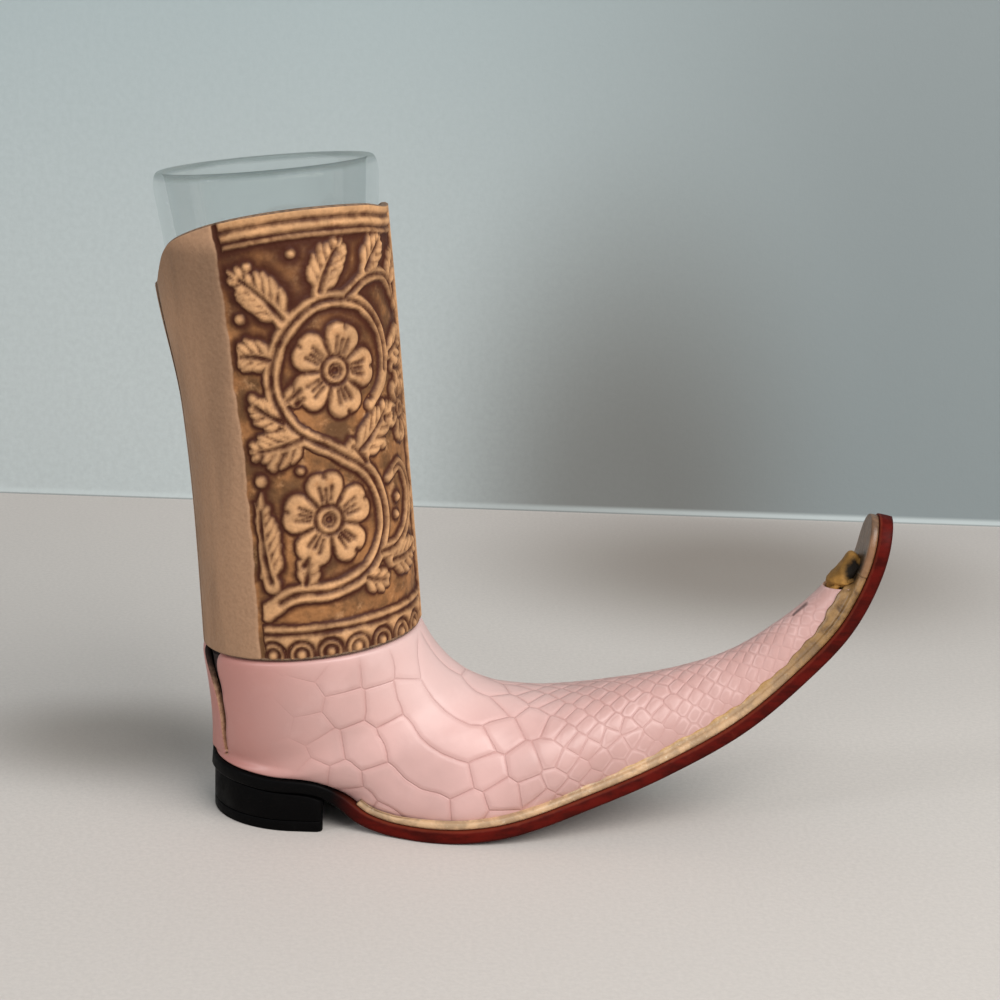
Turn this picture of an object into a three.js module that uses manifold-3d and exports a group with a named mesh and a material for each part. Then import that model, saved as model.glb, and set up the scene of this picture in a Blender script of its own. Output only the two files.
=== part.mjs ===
// A small leather boot with a long curled toe that holds a shot glass in its leg.
// Millimetres. X runs from the heel to the toe, Z up, and -Y is the side with the back seam.
import * as THREE from "three";
import { mergeVertices } from "three/addons/utils/BufferGeometryUtils.js";
import Module from "manifold-3d";

const wasm = await Module();
wasm.setup();

// Fits
const GAP = 0.3; // between pieces that lie against each other
const OVERRUN = 4; // how far a cut goes past what it cuts
const MERGE_DISTANCE = 1e-4; // between points that are one point

// Glass
const GLASS_HEIGHT = 92;
const GLASS_RIM_RADIUS = 23.6;
const GLASS_BASE_RADIUS = 16.2;
const GLASS_WALL = 2.2;
const GLASS_BASE_THICKNESS = 11;
const GLASS_BASE_ROUND = 2.4;
const GLASS_LIP_ROUND = 1.25;
const GLASS_FLOOR_ROUND_SHARE = 0.35; // of the radius of the floor inside
const GLASS_SEGMENTS = 44;
const GLASS_ROUND_STEPS = 4;
const GLASS_LIP_STEPS = 6;

// Leg: its axis leans back, and its pieces are placed by station along the axis
const LEG_LEAN_DEG = 6.35;
const LEG_FOOT_X = 25.9; // where the axis meets the table, from the back of the heel
const SLEEVE_BOTTOM_STATION = 41.2;
const SLEEVE_LENGTH = 93.8;
const SLEEVE_THICKNESS = 1.5;
const SLEEVE_BOTTOM_RADIUS = 24;
const SLEEVE_WAIST_DRAW = 0.4; // how much narrower the sleeve's radius is at its waist
const SLEEVE_WAIST_SHARE = 0.45;
const SLEEVE_BOW = 0.9; // how far the middle of the leg bows forward
const SLEEVE_FRONT_DIP = 2.8;
const SLEEVE_BACK_DIP = 16;
const SLEEVE_FLARE = 1.6; // how far the two back corners stand out
const SLEEVE_FLARE_LENGTH = 26;
const SLEEVE_FAR_DIP = 7.5; // how much lower the far side's top edge lies
const SLEEVE_FAR_DIP_FROM_SHARE = 0.1; // of the radius, away from the near side
const SLEEVE_FAR_DIP_TO_SHARE = 0.8;
const SLEEVE_SEGMENTS = 48;
const SLEEVE_ROWS = 8;
const SEAM_ANGLE_DEG = 163; // from the front, towards -Y
const SEAM_WIDTH = 0.6;
const SEAM_WIDTH_TOP = 3.2;

// Foot
const FOOT_LENGTH = 144.2;
const TOE_RISE = 68.1; // from the top of the sole at the ball to its tip
const BALL_HALF_WIDTH = 23;
const HEEL_HALF_WIDTH = 18.3;
const HEEL_END_RADIUS = 19;
const TIP_END_RADIUS = 7.5;
const INSTEP_HEIGHT = 28;
const LEATHER = 1.3;
const COLLAR_LENGTH = 9.5; // what the upper reaches up inside the sleeve
const SHOULDER_DROP = 0.9;
const HEEL_BACK_X = -0.6;
const COUNTER_HOLLOW = 0.9; // how far the back of the upper leans in above the heel
const LASTING_MARGIN = 6.5;
const UPPER_SEAM_WIDTH = 7.6; // where it gapes under the sleeve
const UPPER_SEAM_WIDTH_LOW = 0.5;
const SEAM_BACKING_WIDTH = 10;
const SEAM_BACKING_THICKNESS = 0.9;
const SEAM_LOW_X = 3.6;
const FILLER_SETBACK = 0.4; // of the bare filler at the toe from the face of the leather
const FILLER_ROW_GAP = 0.12; // between the end of the leather and the bare filler
const FILLER_END_ROW_GAP = 0.15;
const COUNTER_HOLLOW_SHARE = 1 / 3; // of the way down from the leg to the heel seat
const COUNTER_FOOT_SHARE = 2 / 3;
const MIN_FLAT = 1.5; // least half width of a ring where it stands on the sole
const RING_POINTS = 22;
const RING_LOWER_SHARE = 0.4; // of a ring's points below its greatest width
const RINGS_PER_ROW = 2;

// Bottom
const SOLE_THICKNESS = 2.9;
const SOLE_EDGE_ROUND = 0.5;
const WELT_THICKNESS = 1.5;
const WELT_WIDTH = 2.1;
const WELT_SETBACK = 0.5;
const WELT_FROM_SHARE = 0.195; // of the sole's developed length
const WELT_FADE_SHARE = 0.05;
const WELT_INNER_END_SHARE = 0.925;
const STRIP_STEPS = 44;
const SOLE_LINE_DIVISIONS = 400;
const HALVINGS = 30; // of the sole's length, to find a place on it
const HEEL_FEATHER_SETBACK = 0.8;
const BOARD_THICKNESS = 1.5;
const HEEL_RISE = 9.8; // of the heel seat above the sole at the ball
const HEEL_LENGTH = 25.6;
const HEEL_CORNER_ROUND = 1.6;
const HEEL_CAP_THICKNESS = 2.4;
const BREAST_HOLLOW = 1.2;
const HEEL_CURVE_STEPS = 10;
const NAIL_COUNT = 3;
const NAIL_SEGMENTS = 10;
const NAIL_RADIUS = 0.8;
const NAIL_HEAD_RADIUS = 1.7;
const NAIL_HEAD_THICKNESS = 0.6;
const NAIL_INTO_HEEL = 5.2;
const NAIL_SPREAD = 9;
const NAIL_FROM_BACK = 9;

// The sleeve's top edge in side view, from the back to the front: share of the radius forward of the
// axis, share of the front dip and share of the back dip
const SLEEVE_TOP_SHARES = [
  [-1.12, 0, 1.02],
  [-1.03, 0, 0.93],
  [-0.96, 0, 0.68],
  [-0.9, 0, 0.49],
  [-0.81, 0, 0.34],
  [-0.64, 0, 0.22],
  [-0.33, 0, 0.09],
  [0.1, 0, 0.01],
  [0.5, 0, 0],
  [0.86, 0.32, 0],
  [1, 0.9, 0],
  [1.12, 1.5, 0],
];

// How the back seam gapes: share of its length from the heel up, share of the widening.
const SEAM_FLARE_SHARES = [
  [0, 0],
  [0.45, 0.06],
  [0.62, 0.17],
  [0.76, 0.36],
  [0.88, 0.64],
  [1, 1],
];

// The top of the sole in side view: share of the foot's length, of the heel's rise and of the toe's rise.
const SOLE_LINE_SHARES = [
  [-0.004, 1, 0],
  [0.09, 0.905, 0],
  [0.168, 0.8, 0],
  [0.205, 0.52, 0],
  [0.24, 0.16, 0],
  [0.275, 0.03, 0],
  [0.31, 0.005, 0],
  [0.36, 0, 0.001],
  [0.4, 0, 0.0055],
  [0.46, 0, 0.026],
  [0.567, 0, 0.097],
  [0.68, 0, 0.192],
  [0.795, 0, 0.328],
  [0.885, 0, 0.497],
  [0.948, 0, 0.655],
  [0.984, 0, 0.825],
  [1, 0, 1],
];

// Half width of the sole: share of its developed length, share of the half width at the ball.
const SOLE_WIDTH_SHARES = [
  [0, 0.8],
  [0.13, 0.785],
  [0.19, 0.74],
  [0.28, 0.96],
  [0.33, 1],
  [0.4, 0.945],
  [0.5, 0.745],
  [0.62, 0.545],
  [0.74, 0.42],
  [0.86, 0.345],
  [1, 0.3],
];

// The ridge of the vamp: share of the foot's length, height over the sole there as a share of the instep.
const RIDGE_SHARES = [
  [0.34, 1.2],
  [0.385, 1.01],
  [0.452, 0.85],
  [0.53, 0.743],
  [0.62, 0.664],
  [0.72, 0.564],
  [0.795, 0.495],
  [0.857, 0.452],
  [0.912, 0.42],
  [0.962, 0.385],
];

// Rings of the foot below the leg, fanned from the ankle to the toe. Each row: the foot of the ring,
// which climbs from -0.4 to 0 down the back of the heel and then is a share of the sole's developed
// length; its top, as a number among the points of the ridge; its greatest half width as a share of the
// ball's; and how high up the ring that width lies.
const RING_SHARES = [
  [-0.4, 2.5, 1.012, 0.49],
  [-0.2, 3.25, 0.95, 0.46],
  [0, 4.05, 0.875, 0.45],
  [0.035, 4.4, 0.868, 0.43],
  [0.095, 4.8, 0.868, 0.37],
  [0.155, 5.25, 0.876, 0.35],
  [0.205, 5.6, 0.9, 0.32],
  [0.27, 5.97, 0.92, 0.22],
  [0.34, 6.3, 0.92, 0.17],
  [0.43, 6.75, 0.79, 0.15],
  [0.53, 7.4, 0.6, 0.15],
  [0.63, 8.22, 0.44, 0.15],
  [0.72, 9.23, 0.35, 0.16],
  [0.8, 10.22, 0.29, 0.18],
  [0.855, 10.63, 0.26, 0.2],
  [0.9, 11.02, 0.235, 0.22],
  [0.918, 11.53, 0.21, 0.24],
  [0.932, 12, 0.17, 0.3],
];
const UPPER_END_FROM_TOE = 2; // rows of that table past the end of the upper

// A solid and a geometry of the same closed surface
function toSolid(geometry) {
  const bare = geometry.clone();
  bare.deleteAttribute("normal");
  bare.deleteAttribute("uv");
  const merged = mergeVertices(bare, MERGE_DISTANCE);
  return new wasm.Manifold(
    new wasm.Mesh({
      numProp: 3,
      vertProperties: merged.attributes.position.array,
      triVerts: new Uint32Array(merged.index.array),
    }),
  );
}

function toGeometry(solid) {
  const mesh = solid.getMesh();
  const geometry = new THREE.BufferGeometry();
  geometry.setAttribute("position", new THREE.BufferAttribute(mesh.vertProperties, 3));
  geometry.setIndex(new THREE.BufferAttribute(mesh.triVerts, 1));
  geometry.computeVertexNormals();
  return geometry;
}

// The value of a column at x, on a smooth line through the rows of a table
function between(rows, x, column = 1, keyColumn = 0) {
  const last = rows.length - 1;
  let i = 0;
  while (i < last - 1 && x > rows[i + 1][keyColumn]) i += 1;
  const slope = (k) => {
    const a = rows[Math.max(k - 1, 0)];
    const b = rows[Math.min(k + 1, last)];
    return (b[column] - a[column]) / (b[keyColumn] - a[keyColumn]);
  };
  const width = rows[i + 1][keyColumn] - rows[i][keyColumn];
  const s = (x - rows[i][keyColumn]) / width;
  const rise = THREE.MathUtils.smoothstep(s, 0, 1);
  const straight = rows[i][column] * (1 - rise) + rows[i + 1][column] * rise;
  return straight + width * (slope(i) * s * (1 - s) ** 2 - slope(i + 1) * (1 - s) * s ** 2);
}

// The value of a column at a fractional row number
function atRow(rows, row, column) {
  const numbered = rows.map((values, i) => [i, values[column]]);
  return between(numbered, row);
}

// Leg frame: u forward of the axis and station up it, in the part's side view
const lean = THREE.MathUtils.degToRad(LEG_LEAN_DEG);
function legPoint(u, station) {
  const x = LEG_FOOT_X + u * Math.cos(lean) - station * Math.sin(lean);
  const z = station * Math.cos(lean) + u * Math.sin(lean);
  return new THREE.Vector3(x, 0, z);
}

const sleeveTopStation = SLEEVE_BOTTOM_STATION + SLEEVE_LENGTH;
const collarTopStation = SLEEVE_BOTTOM_STATION + COLLAR_LENGTH;
const glassBaseStation = collarTopStation + GAP;

function glassRadius(station) {
  const share = (station - glassBaseStation) / GLASS_HEIGHT;
  return GLASS_BASE_RADIUS + (GLASS_RIM_RADIUS - GLASS_BASE_RADIUS) * share;
}

// How far the leg's middle line stands forward of its axis at a station
function bow(station) {
  const share = (station - SLEEVE_BOTTOM_STATION) / SLEEVE_LENGTH;
  return SLEEVE_BOW * Math.sin(Math.PI * THREE.MathUtils.clamp(share, 0, 1));
}

// A profile given as radius and height, turned about the Z axis
function turned(points, segments) {
  return new THREE.LatheGeometry(points, segments).rotateX(Math.PI / 2);
}

function arcPoints(middle, radius, fromDeg, toDeg, steps) {
  const from = THREE.MathUtils.degToRad(fromDeg);
  const to = THREE.MathUtils.degToRad(toDeg);
  return new THREE.ArcCurve(middle.x, middle.y, radius, from, to, to < from).getPoints(steps);
}

function makeGlass() {
  const floorRadius = GLASS_BASE_RADIUS - GLASS_WALL;
  const innerRound = floorRadius * GLASS_FLOOR_ROUND_SHARE;
  const slopeDeg = THREE.MathUtils.radToDeg(
    Math.atan2(GLASS_RIM_RADIUS - GLASS_BASE_RADIUS, GLASS_HEIGHT),
  );
  const baseMiddle = new THREE.Vector2(GLASS_BASE_RADIUS - GLASS_BASE_ROUND, GLASS_BASE_ROUND);
  const lipMiddle = new THREE.Vector2(GLASS_RIM_RADIUS - GLASS_LIP_ROUND, GLASS_HEIGHT - GLASS_LIP_ROUND);
  const floorMiddle = new THREE.Vector2(floorRadius - innerRound, GLASS_BASE_THICKNESS + innerRound);
  const profile = [
    new THREE.Vector2(0, 0),
    ...arcPoints(baseMiddle, GLASS_BASE_ROUND, -90, -slopeDeg, GLASS_ROUND_STEPS),
    ...arcPoints(lipMiddle, GLASS_LIP_ROUND, -slopeDeg, 180 - slopeDeg, GLASS_LIP_STEPS),
    ...arcPoints(floorMiddle, innerRound, -slopeDeg, -90, GLASS_ROUND_STEPS),
    new THREE.Vector2(0, GLASS_BASE_THICKNESS),
  ];
  return turned(profile, GLASS_SEGMENTS).translate(0, 0, glassBaseStation);
}

// Outer radius of the sleeve: from the foot to the waist, then out to clear the glass at the top
function sleeveRadius(station) {
  const share = (station - SLEEVE_BOTTOM_STATION) / SLEEVE_LENGTH;
  const overGlass = (at) => glassRadius(at) + GAP + SLEEVE_THICKNESS + bow(at);
  const rows = [
    [0, SLEEVE_BOTTOM_RADIUS],
    [SLEEVE_WAIST_SHARE, SLEEVE_BOTTOM_RADIUS - SLEEVE_WAIST_DRAW],
    [1, overGlass(sleeveTopStation)],
  ];
  return Math.max(between(rows, share), overGlass(station));
}

// Station of the sleeve's top edge at an angle from the front
function sleeveEdge(angle) {
  const forward = Math.cos(angle);
  const flare = (SLEEVE_FLARE / sleeveRadius(sleeveTopStation)) * Math.max(0, -forward) ** 3;
  const front = between(SLEEVE_TOP_SHARES, forward - flare, 1);
  const back = between(SLEEVE_TOP_SHARES, forward - flare, 2);
  const away = Math.sin(angle);
  const far = THREE.MathUtils.smoothstep(away, SLEEVE_FAR_DIP_FROM_SHARE, SLEEVE_FAR_DIP_TO_SHARE);
  return sleeveTopStation - front * SLEEVE_FRONT_DIP - back * SLEEVE_BACK_DIP - far * SLEEVE_FAR_DIP;
}

function makeSleeve() {
  const outer = [];
  const inner = [];
  for (let i = 0; i <= SLEEVE_ROWS; i += 1) {
    const share = i / SLEEVE_ROWS;
    outer.push(new THREE.Vector2(SLEEVE_BOTTOM_RADIUS, share));
    inner.unshift(new THREE.Vector2(SLEEVE_BOTTOM_RADIUS - SLEEVE_THICKNESS, share));
  }
  const tube = turned([...outer, ...inner, outer[0]], SLEEVE_SEGMENTS);
  const places = tube.attributes.position;
  const flareFrom = sleeveTopStation - SLEEVE_BACK_DIP - SLEEVE_FLARE_LENGTH;
  for (let i = 0; i < places.count; i += 1) {
    const angle = Math.atan2(places.getY(i), places.getX(i));
    const inward = SLEEVE_BOTTOM_RADIUS - Math.hypot(places.getX(i), places.getY(i));
    const station = THREE.MathUtils.lerp(SLEEVE_BOTTOM_STATION, sleeveEdge(angle), places.getZ(i));
    const radius = sleeveRadius(station) - inward;
    const backward = Math.max(0, (-radius * Math.cos(angle)) / SLEEVE_BOTTOM_RADIUS);
    const opened = THREE.MathUtils.smoothstep(station, flareFrom, sleeveTopStation - SLEEVE_BACK_DIP);
    const flare = SLEEVE_FLARE * opened * backward ** 3;
    places.setXYZ(i, radius * Math.cos(angle) + bow(station) - flare, radius * Math.sin(angle), station);
  }
  return toGeometry(toSolid(tube).subtract(toSolid(makeSleeveSlit())));
}

// The gap between the sleeve's two ends: a wedge that opens towards the top
function makeSleeveSlit() {
  const wedge = new THREE.Shape([
    new THREE.Vector2(-SEAM_WIDTH / 2, SLEEVE_BOTTOM_STATION - OVERRUN),
    new THREE.Vector2(SEAM_WIDTH / 2, SLEEVE_BOTTOM_STATION - OVERRUN),
    new THREE.Vector2(SEAM_WIDTH / 2, (SLEEVE_BOTTOM_STATION + sleeveTopStation) / 2),
    new THREE.Vector2(SEAM_WIDTH_TOP / 2, sleeveTopStation),
    new THREE.Vector2(-SEAM_WIDTH_TOP / 2, sleeveTopStation),
    new THREE.Vector2(-SEAM_WIDTH / 2, (SLEEVE_BOTTOM_STATION + sleeveTopStation) / 2),
  ]);
  return new THREE.ExtrudeGeometry(wedge, { depth: SLEEVE_BOTTOM_RADIUS + OVERRUN, bevelEnabled: false })
    .rotateX(Math.PI / 2)
    .rotateZ(Math.PI / 2 - THREE.MathUtils.degToRad(SEAM_ANGLE_DEG));
}

// The line on which the foot is built: the top of the sole in side view
const soleLine = new THREE.CatmullRomCurve3(
  SOLE_LINE_SHARES.map(
    ([along, heel, toe]) =>
      new THREE.Vector3(along * FOOT_LENGTH, 0, SOLE_THICKNESS + heel * HEEL_RISE + toe * TOE_RISE),
  ),
);
soleLine.arcLengthDivisions = SOLE_LINE_DIVISIONS;
const soleLength = soleLine.getLength();

function normalOf(tangent) {
  return new THREE.Vector3(-tangent.z, 0, tangent.x);
}

function solePoint(share, offset = 0) {
  const normal = normalOf(soleLine.getTangentAt(share));
  return soleLine.getPointAt(share).addScaledVector(normal, offset);
}

// The share of the sole's developed length at which it reaches a length from the heel
function soleShareAtX(x) {
  let low = 0;
  let high = 1;
  for (let i = 0; i < HALVINGS; i += 1) {
    const middle = (low + high) / 2;
    if (soleLine.getPointAt(middle).x < x) low = middle;
    else high = middle;
  }
  return (low + high) / 2;
}

// Half width of the sole, drawn in to a round at the heel and at the tip
function soleHalfWidth(share, setback = 0) {
  const rounded = (distance, radius) => {
    const short = 1 - THREE.MathUtils.clamp((distance - setback) / (radius - setback), 0, 1);
    return Math.sqrt(Math.max(0, 1 - short * short));
  };
  const full = between(SOLE_WIDTH_SHARES, share) * BALL_HALF_WIDTH - setback;
  const heel = rounded(share * soleLength, HEEL_END_RADIUS);
  const tip = rounded((1 - share) * soleLength, TIP_END_RADIUS);
  return full * heel * tip;
}

// Closed solid through sections of equally many points, each a closed convex loop
function loft(sections) {
  const count = sections[0].length;
  const places = [];
  const faces = [];
  for (const section of sections) for (const p of section) places.push(p.x, p.y, p.z);
  for (let k = 0; k < sections.length - 1; k += 1) {
    for (let j = 0; j < count; j += 1) {
      const a = k * count + j;
      const b = k * count + ((j + 1) % count);
      faces.push(a, b, a + count, b, b + count, a + count);
    }
  }
  const ends = [
    [0, true],
    [sections.length - 1, false],
  ];
  for (const [k, first] of ends) {
    const middle = new THREE.Vector3();
    for (const p of sections[k]) middle.addScaledVector(p, 1 / count);
    const hub = places.length / 3;
    places.push(middle.x, middle.y, middle.z);
    for (let j = 0; j < count; j += 1) {
      const a = k * count + j;
      const b = k * count + ((j + 1) % count);
      faces.push(...(first ? [hub, b, a] : [hub, a, b]));
    }
  }
  const geometry = new THREE.BufferGeometry();
  geometry.setAttribute("position", new THREE.Float32BufferAttribute(places, 3));
  geometry.setIndex(faces);
  return geometry;
}

// A strip that follows the sole between two shares of its length, from a low to a high offset
function strip(halfWidth, low, high, from, to, round = 0) {
  const sections = [];
  for (let i = 0; i <= STRIP_STEPS; i += 1) {
    const eased = (1 - Math.cos((Math.PI * i) / STRIP_STEPS)) / 2;
    const share = THREE.MathUtils.lerp(from, to, eased);
    const half = Math.max(halfWidth(share), GAP);
    const cut = Math.min(round, half / 2);
    const corners = [
      [half - cut, low],
      [half, low + cut],
      [half, high - cut],
      [half - cut, high],
    ];
    const outline = cut > 0 ? corners : [corners[0], corners[3]];
    const mirrored = [...outline].reverse().map(([w, offset]) => [-w, offset]);
    sections.push(
      [...outline, ...mirrored].map(([w, offset]) => {
        const p = solePoint(share, offset);
        p.y = w;
        return p;
      }),
    );
  }
  return toSolid(loft(sections));
}

// The back of the upper in side view, from the top of the collar down to the heel seat
const heelSeat = solePoint(0, GAP);
const shoulderStation = SLEEVE_BOTTOM_STATION - SHOULDER_DROP;
const collarRadius = (station) => sleeveRadius(station) - SLEEVE_THICKNESS - GAP;
const legStations = [
  [collarTopStation, collarRadius(collarTopStation)],
  [SLEEVE_BOTTOM_STATION, collarRadius(SLEEVE_BOTTOM_STATION)],
  [shoulderStation, SLEEVE_BOTTOM_RADIUS],
];
function counterPoint(hollow, share) {
  const ankle = legPoint(-SLEEVE_BOTTOM_RADIUS, shoulderStation);
  const z = THREE.MathUtils.lerp(ankle.z, heelSeat.z, share);
  return new THREE.Vector3(HEEL_BACK_X - hollow, 0, z);
}
const backLine = new THREE.CatmullRomCurve3([
  ...legStations.map(([station, radius]) => legPoint(bow(station) - radius, station)),
  counterPoint(COUNTER_HOLLOW, COUNTER_HOLLOW_SHARE),
  counterPoint(0, COUNTER_FOOT_SHARE),
  new THREE.Vector3(HEEL_BACK_X, 0, heelSeat.z),
]);

// The front of the leg and the ridge of the vamp, down to the toe
const ridgeLine = new THREE.CatmullRomCurve3([
  ...legStations.map(([station, radius]) => legPoint(bow(station) + radius, station)),
  ...RIDGE_SHARES.map(([along, height]) => {
    const x = along * FOOT_LENGTH;
    return new THREE.Vector3(x, 0, soleLine.getPointAt(soleShareAtX(x)).z + height * INSTEP_HEIGHT);
  }),
]);

// The rows of the leg, one for each point of the two lines there, and then the rows of the foot
const ringRows = [
  ...legStations.map(([, radius], i) => {
    return [i / (backLine.points.length - 1) - 1, i, radius / BALL_HALF_WIDTH, 1 / 2];
  }),
  ...RING_SHARES,
];

// Half width of the line where the upper meets the sole, drawn in by an inset
function featherHalfWidth(share, inset = 0) {
  const forward = THREE.MathUtils.smoothstep(share, WELT_FROM_SHARE - WELT_FADE_SHARE, WELT_FROM_SHARE);
  const setback = THREE.MathUtils.lerp(HEEL_FEATHER_SETBACK, WELT_WIDTH + WELT_SETBACK, forward);
  return soleHalfWidth(share, setback + inset);
}

// One ring of the foot at a fractional row of its table, drawn in by an inset
function footRing(row, inset) {
  const under = atRow(ringRows, row, 0);
  const top = THREE.MathUtils.clamp(atRow(ringRows, row, 1) / (ridgeLine.points.length - 1), 0, 1);
  const widest = atRow(ringRows, row, 2) * BALL_HALF_WIDTH - inset;
  const belly = atRow(ringRows, row, 3);
  let low;
  let flat = MIN_FLAT;
  if (under < 0) {
    const share = THREE.MathUtils.clamp(1 + under, 0, 1);
    low = backLine.getPoint(share).addScaledVector(normalOf(backLine.getTangent(share)), inset);
    low.z = Math.max(low.z, heelSeat.z + inset);
  } else {
    low = solePoint(under, GAP + inset);
    low.x = Math.max(low.x, HEEL_BACK_X + inset);
    flat = Math.max(featherHalfWidth(under, inset), MIN_FLAT);
  }
  const high = ridgeLine.getPoint(top).addScaledVector(normalOf(ridgeLine.getTangent(top)), -inset);
  return ringPoints(low, high, Math.max(widest, flat), flat, belly);
}

// A closed loop between a low and a high point: a flat foot, sides that swell to the widest, a round top
function ringPoints(low, high, widest, flat, belly) {
  const side = [];
  const squash = 1 - (flat / widest) ** 2;
  const half = RING_POINTS / 2;
  const lower = Math.round(half * RING_LOWER_SHARE);
  for (let j = 0; j < lower; j += 1) {
    const down = Math.sin((Math.PI / 2) * (1 - j / lower));
    side.push([widest * Math.sqrt(Math.max(0, 1 - squash * down * down)), belly * (1 - down)]);
  }
  for (let j = 0; j < half - lower; j += 1) {
    const angle = ((Math.PI / 2) * j) / (half - lower);
    side.push([widest * Math.cos(angle), belly + (1 - belly) * Math.sin(angle)]);
  }
  const point = (y, share) => {
    const p = low.clone().lerp(high, share);
    p.y = y;
    return p;
  };
  const right = side.map(([y, share]) => point(y, share));
  const left = side.map(([y, share]) => point(-y, share)).reverse();
  return [...right, point(0, 1), ...left];
}

// The foot's body drawn in by an inset, between two rows of the ring table
function footBody(inset, fromRow, toRow, overrun = 0) {
  const count = Math.ceil((toRow - fromRow) * RINGS_PER_ROW);
  const rings = [];
  for (let k = 0; k <= count; k += 1) {
    rings.push(footRing(THREE.MathUtils.lerp(fromRow, toRow, k / count), inset));
  }
  if (overrun > 0) {
    const along = (from, to) => {
      const step = ringMiddle(to).sub(ringMiddle(from)).setLength(overrun);
      return to.map((p) => p.clone().add(step));
    };
    rings.unshift(along(rings[1], rings[0]));
    rings.push(along(rings[rings.length - 2], rings[rings.length - 1]));
  }
  return toSolid(loft(rings));
}

function ringMiddle(ring) {
  const middle = new THREE.Vector3();
  for (const p of ring) middle.addScaledVector(p, 1 / ring.length);
  return middle;
}

// The wedge of the upper's back seam, from its width at the heel to its width under the sleeve
function seamWedge(lowWidth, highWidth) {
  const high = legPoint(0, SLEEVE_BOTTOM_STATION);
  const seam = THREE.MathUtils.degToRad(SEAM_ANGLE_DEG);
  high.x += SLEEVE_BOTTOM_RADIUS * Math.cos(seam);
  high.y = -SLEEVE_BOTTOM_RADIUS * Math.sin(seam);
  const low = heelSeat.clone();
  low.x = SEAM_LOW_X;
  low.y = -soleHalfWidth(soleShareAtX(SEAM_LOW_X), HEEL_FEATHER_SETBACK);
  const up = high.clone().sub(low).normalize();
  const out = new THREE.Vector3(Math.cos(seam), -Math.sin(seam), 0);
  const across = new THREE.Vector3().crossVectors(up, out).normalize();
  const outward = new THREE.Vector3().crossVectors(across, up).normalize();
  const length = high.distanceTo(low);
  const edge = SEAM_FLARE_SHARES.map(
    ([along, widening]) =>
      new THREE.Vector2(THREE.MathUtils.lerp(lowWidth, highWidth, widening) / 2, along * length),
  );
  edge.unshift(new THREE.Vector2(lowWidth / 2, -OVERRUN));
  edge.push(new THREE.Vector2(highWidth / 2, length + OVERRUN));
  const mirrored = edge.map((p) => new THREE.Vector2(-p.x, p.y)).reverse();
  const wedge = new THREE.Shape([...edge, ...mirrored]);
  const frame = new THREE.Matrix4().makeBasis(across, up, outward).setPosition(low);
  const geometry = new THREE.ExtrudeGeometry(wedge, { depth: 4 * OVERRUN, bevelEnabled: false })
    .translate(0, 0, -2 * OVERRUN)
    .applyMatrix4(frame);
  return toSolid(geometry);
}

const LAST_ROW = ringRows.length - 1;
const UPPER_END_ROW = LAST_ROW - UPPER_END_FROM_TOE;
const upperLow = GAP;
const boardLow = upperLow + LEATHER + GAP;
const boardHigh = boardLow + BOARD_THICKNESS;
const upperEndShare = atRow(ringRows, UPPER_END_ROW, 0);

function makeUpper(nails) {
  const outer = footBody(0, 0, UPPER_END_ROW);
  const inner = footBody(LEATHER, 0, UPPER_END_ROW, OVERRUN);
  const lastedFrom = LASTING_MARGIN / soleLength;
  const lastedTo = upperEndShare - LASTING_MARGIN / soleLength;
  const lasted = strip(
    (share) => soleHalfWidth(share, WELT_WIDTH + LASTING_MARGIN),
    -GAP,
    upperLow + LEATHER + GAP,
    lastedFrom,
    lastedTo,
  );
  const seam = seamWedge(UPPER_SEAM_WIDTH_LOW, UPPER_SEAM_WIDTH);
  return toGeometry(outer.subtract(inner).subtract(lasted).subtract(seam).subtract(nails));
}

const inside = LEATHER + GAP;

function makeBacking() {
  const behind = seamWedge(SEAM_BACKING_WIDTH, SEAM_BACKING_WIDTH);
  const outer = footBody(inside, 0, UPPER_END_ROW);
  const inner = footBody(inside + SEAM_BACKING_THICKNESS, 0, UPPER_END_ROW, OVERRUN);
  const above = strip(() => BALL_HALF_WIDTH, -OVERRUN, boardHigh + GAP, 0, 1);
  return toGeometry(outer.subtract(inner).intersect(behind).subtract(above).subtract(aboveSeat(GAP)));
}

// Everything above the seat of the glass, in the leg
function aboveSeat(drop = 0) {
  const reach = SLEEVE_BOTTOM_RADIUS + OVERRUN;
  const block = new THREE.CylinderGeometry(reach, reach, SLEEVE_LENGTH, SLEEVE_SEGMENTS)
    .rotateX(Math.PI / 2)
    .translate(0, 0, collarTopStation - drop + SLEEVE_LENGTH / 2)
    .applyMatrix4(new THREE.Matrix4().makeRotationY(-lean).setPosition(LEG_FOOT_X, 0, 0));
  return toSolid(block);
}

function makeCore(nails) {
  const covered = footBody(inside, 0, LAST_ROW);
  const bare = footBody(FILLER_SETBACK, UPPER_END_ROW + FILLER_ROW_GAP, LAST_ROW - FILLER_END_ROW_GAP);
  const pocketWidth = SEAM_BACKING_WIDTH + 2 * GAP;
  const kept = footBody(inside + SEAM_BACKING_THICKNESS + 2 * GAP, 0, LAST_ROW, OVERRUN);
  const pocket = seamWedge(pocketWidth, pocketWidth).subtract(kept);
  const below = strip(() => BALL_HALF_WIDTH, -OVERRUN, boardHigh + GAP, 0, 1);
  const board = strip(() => BALL_HALF_WIDTH, -OVERRUN, boardHigh + GAP, 0, upperEndShare + GAP / soleLength);
  const core = covered.subtract(below).add(bare.subtract(board));
  return toGeometry(core.subtract(pocket).subtract(aboveSeat()).subtract(nails));
}

function makeOutsole(nails) {
  const sole = strip((share) => soleHalfWidth(share), -SOLE_THICKNESS, 0, 0, 1, SOLE_EDGE_ROUND);
  return toGeometry(sole.subtract(nails));
}

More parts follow.
